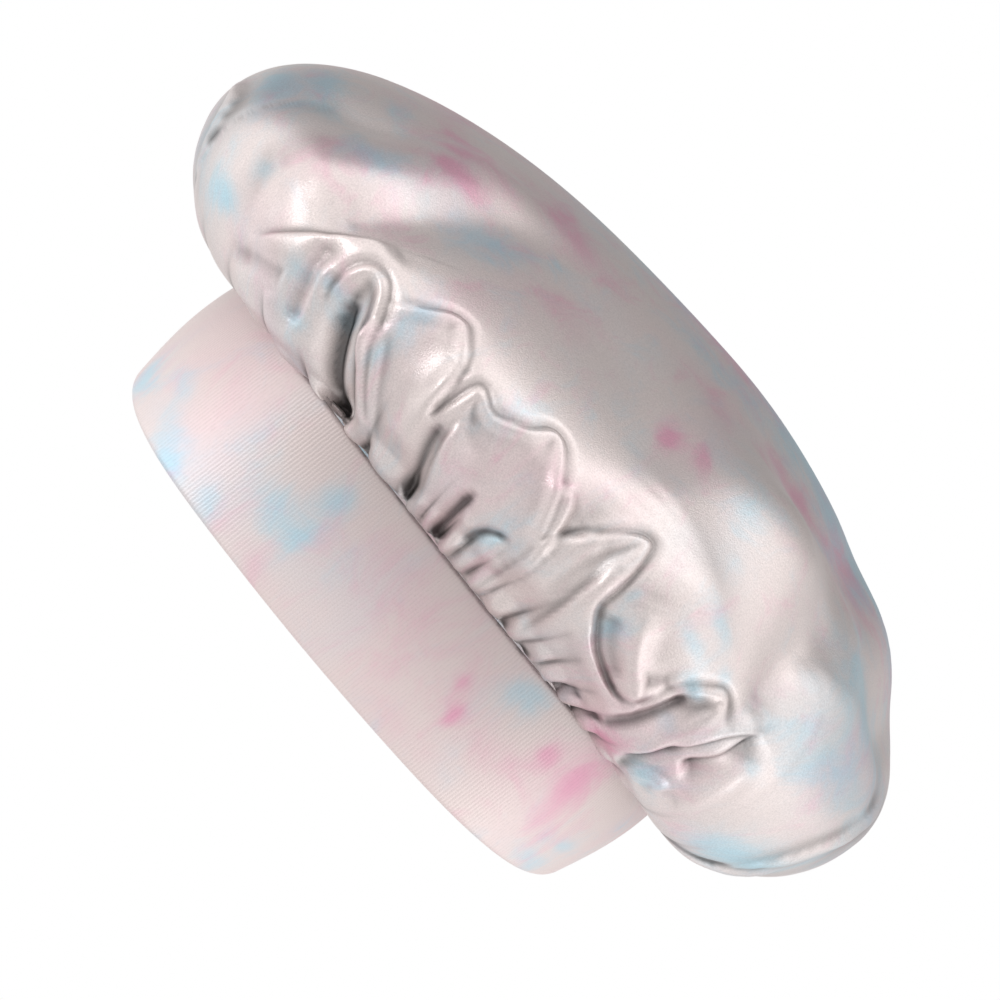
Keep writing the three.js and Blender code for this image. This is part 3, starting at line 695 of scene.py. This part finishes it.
# Dye spots of the crown: place on the cloth, half width and half height (mm), dye, and strength.
DYES = table(
    "deg up wide tall dye strength",
    (-70.2, 123, 6, 7, "pink", 0.6),
    (-60, 115, 6, 7, "pink", 0.75),
    (-53.2, 106, 6, 7, "pink", 0.75),
    (-47, 97, 5, 6, "pink", 0.5),
    (-49, 111, 7, 8, "pink", 0.7),
    (-59, 158, 18, 12, "pink", 0.8),
    (-82, 121, 40, 6, "pink", 0.25),
    (-56, 130, 27, 22, "pink", 0.15),
    (9, 113, 4, 10, "pink", 1),
    (16, 114, 3, 10, "pink", 0.7),
    (20, 162, 5, 14, "pink", 0.5),
    (59, 158, 18, 11, "pink", 0.8),
    (-51, 70, 15, 11, "pink", 0.35),
    (-68, 61, 8, 4, "pink", 0.3),
    (-39, 71, 8, 10, "pink", 0.3),
    (-23, 104, 14, 37, "pink", 0.2),
    (38, 37, 16, 11, "pink", 0.35),
    (26, 28, 11, 9, "pink", 0.3),
    (52, 25, 12, 7, "pink", 0.4),
    (4, 54, 7, 6, "pink", 0.25),
    (34, 14, 6, 8, "pink", 0.8),
    (-8, 44, 9, 10, "pink", 0.15),
    (114, 90, 20, 11, "pink", 0.2),
    (-77, 66, 20, 7, "blue", 0.9),
    (-78, 80, 22, 6, "blue", 0.8),
    (-72, 101, 14, 4, "blue", 0.65),
    (-50, 81, 10, 9, "blue", 0.9),
    (-38, 110, 9, 14, "blue", 0.8),
    (-32, 99, 5, 7, "blue", 0.7),
    (-36, 136, 6, 10, "blue", 0.35),
    (-24, 51, 4, 9, "blue", 0.85),
    (-24, 36, 2, 6, "blue", 0.6),
    (-34, 44, 7, 3, "blue", 0.8),
    (-32, 38, 6, 4, "blue", 0.7),
    (-39, 41, 4, 4, "blue", 0.6),
    (-36, 29, 6, 4, "blue", 0.6),
    (-40, 61, 3, 3, "blue", 0.35),
    (-56, 40, 10, 5, "blue", 0.9),
    (-74, 42, 24, 9, "blue", 0.7),
    (-54, 54, 4, 4, "blue", 0.55),
    (-8, 54, 5, 10, "blue", 0.5),
    (-6, 64, 4, 7, "blue", 0.3),
    (2, 24, 4, 15, "blue", 0.5),
    (5, 30, 4, 8, "blue", 0.3),
    (20, 38, 3, 8, "blue", 0.75),
    (18, 50, 2, 4, "blue", 0.5),
    (27, 56, 6, 3, "blue", 0.7),
    (32, 50, 6, 3, "blue", 0.75),
    (28, 66, 7, 4, "blue", 0.45),
    (34, 60, 4, 3, "blue", 0.5),
    (39, 26, 8, 8, "blue", 0.7),
    (34, 40, 3, 3, "blue", 0.4),
    (57, 30, 14, 7, "blue", 0.8),
    (62, 37, 18, 6, "blue", 0.9),
    (50, 68, 11, 9, "blue", 0.6),
    (46, 52, 4, 3, "blue", 0.75),
    (64, 101, 17, 8, "blue", 0.65),
    (66, 92, 10, 4, "blue", 0.5),
    (74, 84, 31, 9, "blue", 0.7),
    (64, 68, 14, 7, "blue", 0.3),
    (78, 66, 40, 12, "blue", 0.45),
    (74, 46, 17, 8, "blue", 0.6),
    (114, 148, 23, 13, "blue", 0.7),
    (84, 142, 25, 5, "blue", 0.7),
    (100, 128, 32, 5, "blue", 0.75),
    (114, 110, 21, 15, "blue", 0.55),
    (102, 174, 22, 5, "blue", 0.45),
    (26, 114, 10, 25, "blue", 0.3),
    (26, 84, 7, 17, "blue", 0.25),
    (8, 82, 3, 5, "blue", 0.35),
    (75, 116, 21, 6, "blue", 0.3),
    (114, 90, 30, 13, "blue", 0.4),
    (150, 160, 40, 40, "blue", 0.8),
    (95, 132, 30, 24, "pink", 0.6),
    (130, 110, 34, 40, "blue", 0.8),
    (170, 100, 40, 30, "pink", 0.9),
    (-150, 140, 34, 40, "blue", 0.8),
    (-120, 100, 34, 26, "pink", 0.8),
    (150, 60, 36, 22, "blue", 0.8),
    (-170, 50, 34, 20, "pink", 0.7),
    (-125, 45, 34, 20, "blue", 0.8),
    (118, 40, 34, 20, "pink", 0.7),
    (-150, 85, 20, 14, "blue", 0.6),
    (165, 190, 24, 20, "pink", 0.7),
    (20, 202, 16, 20, "blue", 0.4),
    (59, 70, 16, 24, "blue", 0.2),
    (56, 88, 16, 22, "blue", 0.15),
    (-66, 72, 20, 24, "blue", 0.3),
)


# Dye spots of the band: the same, with the height over its rim.
BAND_DYES = table(
    "deg up wide tall dye strength",
    (-21, 19, 13, 8, "blue", 0.7),
    (-16, 33, 5, 6, "blue", 0.7),
    (-15, 16, 3, 8, "blue", 0.5),
    (-60, 6, 10, 7, "blue", 0.8),
    (-41, 8, 14, 5, "blue", 0.7),
    (-37, 2, 8, 3, "blue", 0.9),
    (-48, 16, 9, 4, "blue", 0.5),
    (-32, 30, 3, 12, "blue", 0.4),
    (-28, 6, 6, 5, "blue", 0.6),
    (26, 39, 6, 6, "blue", 0.75),
    (54, 14, 11, 3, "blue", 0.5),
    (50, 5, 13, 4, "blue", 0.5),
    (64, 28, 7, 4, "blue", 0.4),
    (25, 13, 2, 6, "blue", 0.45),
    (28, 7, 3, 4, "blue", 0.4),
    (42, 33, 7, 11, "pink", 1),
    (35, 32, 3, 4, "pink", 0.8),
    (21, 20, 2, 4, "pink", 0.9),
    (18, 28, 2, 3, "pink", 0.6),
    (32, 20, 16, 9, "pink", 0.4),
    (4, 22, 25, 16, "pink", 0.28),
    (17, 6, 16, 5, "pink", 0.3),
    (-4, 35, 13, 7, "pink", 0.2),
    (44, 16, 6, 7, "pink", 0.35),
    (-40, 29, 12, 7, "pink", 0.2),
    (-16, 4, 14, 4, "pink", 0.2),
    (115, 20, 16, 14, "pink", 0.6),
    (140, 30, 14, 12, "blue", 0.8),
    (165, 12, 16, 12, "blue", 0.5),
    (180, 30, 14, 10, "pink", 0.7),
    (-160, 18, 16, 12, "blue", 0.8),
    (-135, 30, 14, 12, "pink", 0.6),
    (-110, 14, 16, 12, "blue", 0.6),
    (-92, 30, 10, 14, "pink", 0.4),
    (90, 16, 10, 14, "pink", 0.4),
)


def dye_amounts(rows, deg, up, radius):
    """How much of each dye every place has taken."""
    per_degree = np.radians(np.maximum(radius, LEAST_RADIUS))
    found = {"blue": np.zeros(deg.shape), "pink": np.zeros(deg.shape)}
    for row in rows:
        found[row["dye"]] += row["strength"] * spot(row, deg, up, per_degree)
    return found


# Painted shade in the creases: reach (mm) of the surroundings, and the depth (mm) that counts as
# fully dark, on two scales; and where the painted shade fades up the cloth.
CREASE_REACH = ((1.6, 1.2), (5.0, 9.0))
CREASE_SHADE_FADE = (60.0, 90.0)
# How far from the middle the gathers at the front lie (mm).
FRONT_REACH = 128.0

# The mesh is finest at the front, where the gathers are, coarser at the sides and the back
# (degrees), and coarser over the gathers than in them (mm). The inner skin takes every third line.
FACE = (-50.0, 50.0)
FACE_STEP = 0.31
SIDE = (-66.0, 72.0)
SIDE_STEP = 1.0
BACK_STEP = 2.4
GATHER_TOP = 90.0
GATHER_STEP = 0.6
TOP_ROWS = 26
INNER_STEP = 3
# Vertices nearer than this are one. Each skin is then evened by this share, so many times, the
# outer one more often because its mesh is finer.
WELD = 0.02 * MM
EVENING = 0.5
OUTER_ROUNDS = 3
INNER_ROUNDS = 1


def even(start, end, step):
    """Evenly spaced values from start to end, about one step apart."""
    return np.linspace(start, end, int(round((end - start) / step)) + 1)


def columns_round():
    """Directions of the mesh's columns, once round from the left side and back to it."""
    return np.concatenate([
        even(SIDE[0], FACE[0], SIDE_STEP)[:-1],
        even(*FACE, FACE_STEP)[:-1],
        even(FACE[1], SIDE[1], SIDE_STEP)[:-1],
        even(SIDE[1], SIDE[0] + 360.0, BACK_STEP),
    ])


def thinned(values):
    """Every third value, and always the last one."""
    kept = values[::INNER_STEP]
    return kept if kept[-1] == values[-1] else np.append(kept, values[-1])


def crease_shade_at(columns, rows):
    """How deep in the creases each crossing of the columns and rows lies: the strength of the painted shade
    there.
    """
    deg, up = np.meshgrid(columns, rows)
    height = relief(turn(deg), up, plain_puff(deg, up))
    found = creases(height, math.radians(FACE_STEP) * FRONT_REACH, GATHER_STEP)
    return found * (1.0 - ease(*CREASE_SHADE_FADE, up))


def crown_skin(name, wall, columns, rows):
    """One face of the crown's cloth, so far inside the outer one, with its flat cut, dyes and the painted
    shade of its creases.
    """
    piece, deg, up = cloth_grid(name, columns, rows, lambda a, b: puff_points(a, b, wall))
    set_cloth_uv(piece, flat_circle(deg, up))
    radius = np.hypot(*plain_puff(deg, up)[..., :2].T)
    for dye, amount in dye_amounts(DYES, turn(deg), up, radius).items():
        set_attribute(piece, dye, amount)
    # Painted shade: how deep each place lies in the creases sets how far its colour is darkened.
    painted_shade = crease_shade_at(columns, rows)
    set_attribute(piece, "painted_shade", painted_shade[np.searchsorted(rows, up), np.searchsorted(columns, deg)])
    return piece


def close_skin(piece, rounds, inwards):
    """Closes a skin where its ends meet and at the top, evens it, and turns it inwards if asked."""
    deselect()
    piece.select_set(True)
    bpy.context.view_layer.objects.active = piece
    bpy.ops.object.mode_set(mode="EDIT")
    bpy.ops.mesh.select_all(action="SELECT")
    bpy.ops.mesh.remove_doubles(threshold=WELD)
    bpy.ops.mesh.vertices_smooth(factor=EVENING, repeat=rounds)
    if inwards:
        bpy.ops.mesh.flip_normals()
    bpy.ops.object.mode_set(mode="OBJECT")


def join_skins(outer, inner):
    """Makes one closed wall of the two skins, bridged along their edges at the seam."""
    deselect()
    inner.select_set(True)
    outer.select_set(True)
    bpy.context.view_layer.objects.active = outer
    bpy.ops.object.join()
    bpy.ops.object.mode_set(mode="EDIT")
    bpy.ops.mesh.select_mode(type="EDGE")
    bpy.ops.mesh.select_all(action="DESELECT")
    bpy.ops.mesh.select_non_manifold(extend=False)
    bpy.ops.mesh.bridge_edge_loops()
    bpy.ops.mesh.select_all(action="SELECT")
    bpy.ops.mesh.normals_make_consistent(inside=False)
    bpy.ops.object.mode_set(mode="OBJECT")
    bpy.ops.object.shade_smooth()


def make_crown():
    """The puff, gathered at the seam: an outer and an inner skin, one wall apart."""
    columns = columns_round()
    gather_rows = int(round(GATHER_TOP / GATHER_STEP))
    rows = np.concatenate([
        np.linspace(0.0, GATHER_TOP, gather_rows + 1),
        np.linspace(GATHER_TOP, CLOTH, TOP_ROWS + 1)[1:],
    ])
    outer = crown_skin("crown", 0.0, columns, rows)
    inner = crown_skin("crown_inside", SATIN_WALL, thinned(columns), thinned(rows))
    close_skin(outer, OUTER_ROUNDS, inwards=False)
    close_skin(inner, INNER_ROUNDS, inwards=True)
    join_skins(outer, inner)
    return outer


# The band's mesh: columns round the head, lines up each face, and steps round the rim and top edge.
BAND_COLUMNS = 240
BAND_LINES = 46
EDGE_STEPS = 6
# Painted shadow: the shade that the puff throws on the front of the band, painted into its colour and
# darkest at its top edge, and how far round it reaches (degrees).
BAND_PAINTED_SHADOW = 0.34
SHADE_TURN = 75.0


def band_outline():
    """The band's wall in section, in millimetres out and up: rim, inner face, top edge, outer face."""
    half = BAND_WALL / 2
    steps = np.arange(EDGE_STEPS + 1) / EDGE_STEPS
    rim = np.pi * steps
    face = np.linspace(half, BAND_HEIGHT - half, BAND_LINES)[1:-1]
    parts = [
        np.stack([-half + half * np.cos(rim), half - half * np.sin(rim)], -1),
        np.stack([np.full(face.shape, -BAND_WALL), face], -1),
        np.stack([-half - half * np.cos(rim), BAND_HEIGHT - half + half * np.sin(rim)], -1),
        np.stack([np.zeros(face.shape), face[::-1]], -1),
    ]
    outline = np.concatenate(parts)
    return np.concatenate([outline, outline[:1]])


def make_band():
    """The doubled strip round the head, as one closed ring of cloth."""
    outline = band_outline()
    columns = np.linspace(-180.0, 180.0, BAND_COLUMNS + 1)
    along = np.arange(len(outline), dtype=float)

    def place(deg, step):
        out, z = outline[np.rint(step).astype(int)].T
        rise, flare, belly = rows_at(RIM, "rise flare belly", turn(deg))
        low = 1 - z / BAND_HEIGHT
        radius = plan_radius(deg) + out + flare * low**2 + belly * np.sin(np.pi * low)
        return round_head(radius, deg, z + rise * low)

    piece, deg, step = cloth_grid("band", columns, along, place)
    z = outline[np.rint(step).astype(int), 1]
    set_cloth_uv(piece, np.stack([np.radians(deg) * BAND["half_width"], z], -1))
    for dye, amount in dye_amounts(BAND_DYES, turn(deg), z, plan_radius(deg)).items():
        set_attribute(piece, dye, amount)
    # Painted shadow of the puff: the band's colour is darker towards its top edge at the front.
    shade = BAND_PAINTED_SHADOW * ease(0, BAND_HEIGHT, z) * np.exp(-((deg / SHADE_TURN) ** 2))
    set_attribute(piece, "painted_shade", shade)
    bpy.ops.object.mode_set(mode="EDIT")
    bpy.ops.mesh.select_all(action="SELECT")
    bpy.ops.mesh.remove_doubles(threshold=WELD)
    bpy.ops.mesh.normals_make_consistent(inside=False)
    bpy.ops.object.mode_set(mode="OBJECT")
    bpy.ops.object.shade_smooth()
    return piece


def linear(hex_colour):
    """sRGB hex to the linear colour that the shaders take."""
    channels = [int(hex_colour[i:i + 2], 16) / 255 for i in (1, 3, 5)]
    return tuple(c / 12.92 if c <= 0.04045 else ((c + 0.055) / 1.055) ** 2.4 for c in channels) + (1.0,)


def add_node(tree, kind, settings=None, inputs=None, links=None):
    """Adds one node, sets its properties and sockets, and links outputs of other nodes into it."""
    node = tree.nodes.new(kind)
    for name, value in (settings or {}).items():
        setattr(node, name, value)
    for name, value in (inputs or {}).items():
        node.inputs[name].default_value = value
    for name, source in (links or {}).items():
        tree.links.new(source, node.inputs[name])
    return node


def new_material(name):
    """A material with one shader on its output, its node tree and that shader."""
    material = bpy.data.materials.new(name)
    material.use_nodes = True
    tree = material.node_tree
    tree.nodes.clear()
    shader = add_node(tree, "ShaderNodeBsdfPrincipled")
    add_node(tree, "ShaderNodeOutputMaterial", links={"Surface": shader.outputs["BSDF"]})
    return material, tree, shader


# The undyed crown and band, and the two dyes.
CREAM = "#f1e8e6"
PALE = "#efe3e1"
DYE_COLOURS = {"blue": "#bfe6f5", "pink": "#f2b2cd"}
# Where each dye's noise starts, so that their rags differ.
DYE_PLACES = {"blue": 3.0, "pink": 11.0}
# Width of the dye's rags and of its mottle, and how the rags are drawn out along the threads.
DYE_RAGS = 20 * MM
DYE_MOTTLE = 55 * MM
DYE_RUN = (1.5, 0.8, 1.0)
# The rags are the noise times this, less half of it. The edge of a spot is this wide, the spot
# is so deep, a soft stain lies round it, and a fainter mottle over the whole cloth.
RAG_SWING = 2.4
SPOT_EDGE = 1.1
SPOT_DEPTH = 0.62
STAIN_DEPTH = 0.28
MOTTLE_DEPTH = 0.15
# The stretches of the noises that are used: where the mottle starts and is full, and the grain's.
MOTTLE_SPAN = (0.48, 0.75)
GRAIN_SPAN = (0.25, 0.75)
# Share of the colour that the painted shade takes away at its strongest, in the deepest creases and in the
# puff's shadow on the band, and that is lost in the deepest grain of each face.
PAINTED_SHADE_SHARE = 0.8
CROWN_SPECKLE = 0.22
BAND_SPECKLE = 0.1
# Strength of the bump that the grain gives each face.
CROWN_BUMP = 0.5
BAND_BUMP = 0.4
# Satin threads are 0.1 mm apart, too fine to show, so their grain is drawn 0.5 mm wide.
SATIN_GRAIN = 0.5 * MM
GRAIN_DEPTH = 0.2 * MM
# The ribs are 0.9 mm apart. A wave texture of scale 1 has one wave in each 0.314 of its unit.
RIB_PITCH = 0.9 * MM
RIB_WAVES = 0.314
RIB_SHARE = 0.6


def tie_dyed(tree, uv, ground):
    """Pale cloth with watery blue and pink spots, ragged along the threads, and a faint mottle."""
    colour = add_node(tree, "ShaderNodeRGB")
    colour.outputs[0].default_value = linear(ground)
    last = colour.outputs[0]
    for dye, shade in DYE_COLOURS.items():
        seed = DYE_PLACES[dye]
        amount = add_node(tree, "ShaderNodeAttribute", {"attribute_name": dye})
        place = add_node(tree, "ShaderNodeMapping",
                         inputs={"Location": (seed, seed, 0.0), "Scale": DYE_RUN},
                         links={"Vector": uv})
        cloud = add_node(tree, "ShaderNodeTexNoise",
                         inputs={"Scale": 1.0 / DYE_RAGS, "Detail": 7.0,
                                 "Roughness": 0.62, "Distortion": 0.8},
                         links={"Vector": place.outputs["Vector"]})
        mottle = add_node(tree, "ShaderNodeTexNoise", inputs={"Scale": 1.0 / DYE_MOTTLE, "Detail": 2.0},
                          links={"Vector": place.outputs["Vector"]})
        ragged = add_node(tree, "ShaderNodeMath", {"operation": "MULTIPLY_ADD"},
                          inputs={1: RAG_SWING, 2: -RAG_SWING / 2},
                          links={0: cloud.outputs["Fac"]})
        spread = add_node(tree, "ShaderNodeMath", {"operation": "ADD"},
                          links={0: amount.outputs["Fac"], 1: ragged.outputs[0]})
        spots = add_node(tree, "ShaderNodeMapRange", {"interpolation_type": "SMOOTHSTEP"},
                         inputs={"From Min": 0.0, "From Max": SPOT_EDGE, "To Max": SPOT_DEPTH},
                         links={"Value": spread.outputs[0]})
        stain = add_node(tree, "ShaderNodeMath", {"operation": "MULTIPLY_ADD", "use_clamp": True},
                         inputs={1: STAIN_DEPTH},
                         links={0: amount.outputs["Fac"], 2: spots.outputs[0]})
        faint = add_node(tree, "ShaderNodeMapRange", {"interpolation_type": "SMOOTHSTEP"},
                         inputs={"From Min": MOTTLE_SPAN[0], "From Max": MOTTLE_SPAN[1],
                                 "To Max": MOTTLE_DEPTH},
                         links={"Value": mottle.outputs["Fac"]})
        soaked = add_node(tree, "ShaderNodeMath", {"operation": "ADD", "use_clamp": True},
                          links={0: stain.outputs[0], 1: faint.outputs[0]})
        # Inputs 6 and 7 and output 2 of a Mix node are its colours.
        dyed = add_node(tree, "ShaderNodeMix", {"data_type": "RGBA"}, inputs={7: linear(shade)},
                        links={0: soaked.outputs[0], 6: last})
        last = dyed.outputs[2]
    return last


def speckled(tree, colour, grain, share):
    """The colour, up to this share deeper in the grain of the weave."""
    shade = add_node(tree, "ShaderNodeMapRange",
                     inputs={"From Min": GRAIN_SPAN[0], "From Max": GRAIN_SPAN[1],
                             "To Min": 1.0 - share, "To Max": 1.0},
                     links={"Value": grain})
    mixed = add_node(tree, "ShaderNodeVectorMath", {"operation": "SCALE"},
                     links={0: colour, "Scale": shade.outputs[0]})
    return mixed.outputs["Vector"]


def paint_shade_in_creases(tree, colour):
    """The colour with painted shade: deeper where the cloth lies in the creases and little light reaches
    it, and on the band in the puff's shadow.
    """
    # Painted shade, read from the attribute that the crown and the band are given.
    painted_shade = add_node(tree, "ShaderNodeAttribute", {"attribute_name": "painted_shade"})
    left = add_node(tree, "ShaderNodeMapRange", inputs={"To Min": 1.0, "To Max": 1.0 - PAINTED_SHADE_SHARE},
                    links={"Value": painted_shade.outputs["Fac"]})
    darker = add_node(tree, "ShaderNodeVectorMath", {"operation": "SCALE"},
                      links={0: colour, "Scale": left.outputs[0]})
    return darker.outputs["Vector"]


def finish_cloth(tree, shader, ground, weave, speckle, bump):
    """Gives the shader the dyed colour, darkened by painted shade in the creases and in the puff's shadow
    on the band, deeper in the weave, and the weave's bump.
    """
    uv = add_node(tree, "ShaderNodeUVMap", {"uv_map": "cloth"}).outputs["UV"]
    # The dyed colour, darkened by painted shade in the creases and under the puff.
    dyed = paint_shade_in_creases(tree, tie_dyed(tree, uv, ground))
    tree.links.new(speckled(tree, dyed, weave, speckle), shader.inputs["Base Color"])
    raised = add_node(tree, "ShaderNodeBump", inputs={"Strength": bump, "Distance": GRAIN_DEPTH},
                      links={"Height": weave})
    tree.links.new(raised.outputs["Normal"], shader.inputs["Normal"])


def crown_satin():
    """Polyester satin, woven with long floats and calendered: broad silky highlights, a fine grain."""
    material, tree, shader = new_material("woven_polyester_satin")
    place = add_node(tree, "ShaderNodeTexCoord").outputs["Object"]
    grain = add_node(tree, "ShaderNodeTexNoise",
                     inputs={"Scale": 1.0 / SATIN_GRAIN, "Detail": 2.0, "Roughness": 0.6},
                     links={"Vector": place})
    finish_cloth(tree, shader, CREAM, grain.outputs["Fac"], CROWN_SPECKLE, CROWN_BUMP)
    shader.inputs["Metallic"].default_value = 0.7
    shader.inputs["Roughness"].default_value = 0.3
    return material


def band_satin():
    """The dull face of the same cloth, with fine upright ribs: a soft, duller shine and a faint sheen."""
    material, tree, shader = new_material("ribbed_dull_satin")
    uv = add_node(tree, "ShaderNodeUVMap", {"uv_map": "cloth"}).outputs["UV"]
    ribs = add_node(tree, "ShaderNodeTexWave", {"bands_direction": "X", "wave_profile": "SIN"},
                    inputs={"Scale": RIB_WAVES / RIB_PITCH, "Distortion": 0.8, "Detail": 2.0},
                    links={"Vector": uv})
    place = add_node(tree, "ShaderNodeTexCoord").outputs["Object"]
    grain = add_node(tree, "ShaderNodeTexNoise", inputs={"Scale": 1.0 / SATIN_GRAIN, "Detail": 2.0},
                     links={"Vector": place})
    weave = add_node(tree, "ShaderNodeMath", {"operation": "MULTIPLY_ADD"}, inputs={1: RIB_SHARE},
                     links={0: ribs.outputs["Fac"], 2: grain.outputs["Fac"]})
    finish_cloth(tree, shader, PALE, weave.outputs[0], BAND_SPECKLE, BAND_BUMP)
    shader.inputs["Metallic"].default_value = 0.5
    shader.inputs["Roughness"].default_value = 0.48
    shader.inputs["Sheen Weight"].default_value = 0.15
    return material


def make_camera():
    """Front view from 8 degrees above, rolled so that the bonnet's up points to the upper right."""
    elevation = math.radians(8.0)
    roll = math.radians(51.5)
    distance = 6.0
    seen_width = 0.2696
    middle_right = -0.00105
    middle_up = 0.0531
    data = bpy.data.cameras.new("camera")
    camera = bpy.data.objects.new("camera", data)
    bpy.context.scene.collection.objects.link(camera)
    data.lens = data.sensor_width * distance / seen_width
    back = Vector((0, -math.cos(elevation), math.sin(elevation)))
    up = Vector((0, math.sin(elevation), math.cos(elevation)))
    right = Vector((1, 0, 0))
    target = right * middle_right + up * middle_up
    aim = Matrix((right, up, back)).transposed() @ Matrix.Rotation(roll, 3, "Z")
    camera.matrix_world = Matrix.Translation(target + back * distance) @ aim.to_4x4()
    data.clip_end = 60.0
    bpy.context.scene.camera = camera


# The pale room that the satin mirrors, and its darker sides: the direction, the cosines of the
# angle from it at which the darkness starts and is full, and the share of light it takes.
ROOM_COLOUR = "#fbf7f6"
ROOM_LIGHT = 1.2
DARK_SIDES = table(
    "toward start full share",
    # behind and above, mirrored by the top of the puff
    ((-0.28, 0.78, 0.56), 0.73, 0.92, 0.72),
    # behind at the right, mirrored by the right shoulder
    ((0.66, 0.60, 0.46), 0.88, 0.97, 0.30),
    # straight behind, mirrored at a low angle by the upper edge at the right
    ((0.17, 0.98, 0.06), 0.93, 0.985, 0.45),
    # the whole wall behind, mirrored by every upper edge
    ((0.0, 0.99, -0.1), 0.45, 0.95, 0.30),
    # the side of the camera, mirrored by the faces of the gathers
    ((0.0, -0.98, 0.18), 0.70, 0.98, 0.35),
    # below and in front, mirrored by the underside of the puff
    ((0.0, -0.45, -0.89), 0.25, 0.95, 0.30),
)
# Soft boxes: place, width and height in metres, and power in watts. All face the bonnet's middle.
SOFT_BOXES = table(
    "name place width height power",
    ("overhead", (0.05, -0.25, 1.3), 0.8, 0.4, 0.6),
    ("right", (1.15, -0.35, -0.1), 0.5, 0.6, 0.6),
    ("left", (-1.0, -0.7, -0.1), 0.4, 0.6, 1.4),
)
BONNET_MIDDLE = (0.0, 0.0, 0.07)
FLOOR_SIZE = 60.0
FLOOR_Z = -7.0


def hang_soft_box(name, place, width, height, power):
    """A rectangle of white light that faces the bonnet."""
    data = bpy.data.lights.new(name, "AREA")
    data.shape = "RECTANGLE"
    data.size = width
    data.size_y = height
    data.energy = power
    lamp = bpy.data.objects.new(name, data)
    bpy.context.scene.collection.objects.link(lamp)
    lamp.location = place
    lamp.rotation_mode = "QUATERNION"
    lamp.rotation_quaternion = (Vector(BONNET_MIDDLE) - Vector(place)).to_track_quat("-Z", "Y")


def light_room():
    """The room as the satin mirrors it, darker towards some sides; the camera sees plain white."""
    world = bpy.data.worlds.new("studio")
    bpy.context.scene.world = world
    world.use_nodes = True
    tree = world.node_tree
    tree.nodes.clear()
    direction = add_node(tree, "ShaderNodeTexCoord").outputs["Generated"]
    light = add_node(tree, "ShaderNodeValue")
    light.outputs[0].default_value = ROOM_LIGHT
    for side in DARK_SIDES:
        facing = add_node(tree, "ShaderNodeVectorMath", {"operation": "DOT_PRODUCT"},
                          inputs={1: side["toward"]}, links={0: direction})
        fall = add_node(tree, "ShaderNodeMapRange", {"interpolation_type": "SMOOTHSTEP"},
                        inputs={"From Min": side["start"], "From Max": side["full"],
                                "To Min": 1.0, "To Max": 1.0 - side["share"]},
                        links={"Value": facing.outputs["Value"]})
        light = add_node(tree, "ShaderNodeMath", {"operation": "MULTIPLY"},
                         links={0: light.outputs[0], 1: fall.outputs[0]})
    room = add_node(tree, "ShaderNodeBackground", inputs={"Color": linear(ROOM_COLOUR)},
                    links={"Strength": light.outputs[0]})
    white = add_node(tree, "ShaderNodeBackground", inputs={"Color": linear("#ffffff"), "Strength": 1.0})
    seen = add_node(tree, "ShaderNodeLightPath").outputs["Is Camera Ray"]
    both = add_node(tree, "ShaderNodeMixShader", links={0: seen, 1: room.outputs[0], 2: white.outputs[0]})
    add_node(tree, "ShaderNodeOutputWorld", links={"Surface": both.outputs[0]})


def backdrop_paper():
    """White studio paper, lit evenly: a plain bright ground without shadows."""
    material, _, shader = new_material("white_paper_backdrop")
    shader.inputs["Base Color"].default_value = linear("#f3f3f3")
    shader.inputs["Roughness"].default_value = 0.9
    shader.inputs["Emission Color"].default_value = linear("#ffffff")
    shader.inputs["Emission Strength"].default_value = 1.0
    return material


def lay_floor():
    """A white floor far below, which neither lights the bonnet nor shows in the satin."""
    deselect()
    bpy.ops.mesh.primitive_plane_add(size=FLOOR_SIZE, location=(0, 0, FLOOR_Z))
    floor = bpy.context.object
    floor.name = "floor"
    floor.data.materials.append(backdrop_paper())
    floor.visible_diffuse = False
    floor.visible_glossy = False


def make_studio():
    """A pale room, a soft box above and one at each side, and a white floor."""
    bpy.context.scene.view_settings.view_transform = "Standard"
    light_room()
    for box in SOFT_BOXES:
        hang_soft_box(**box)
    lay_floor()


make_camera()
crown = make_crown()
crown.data.materials.clear()
crown.data.materials.append(crown_satin())
band = make_band()
band.data.materials.append(band_satin())
for piece, node in ((crown, "crown"), (band, "band")):
    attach(piece, "root")
    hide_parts(node)
make_studio()
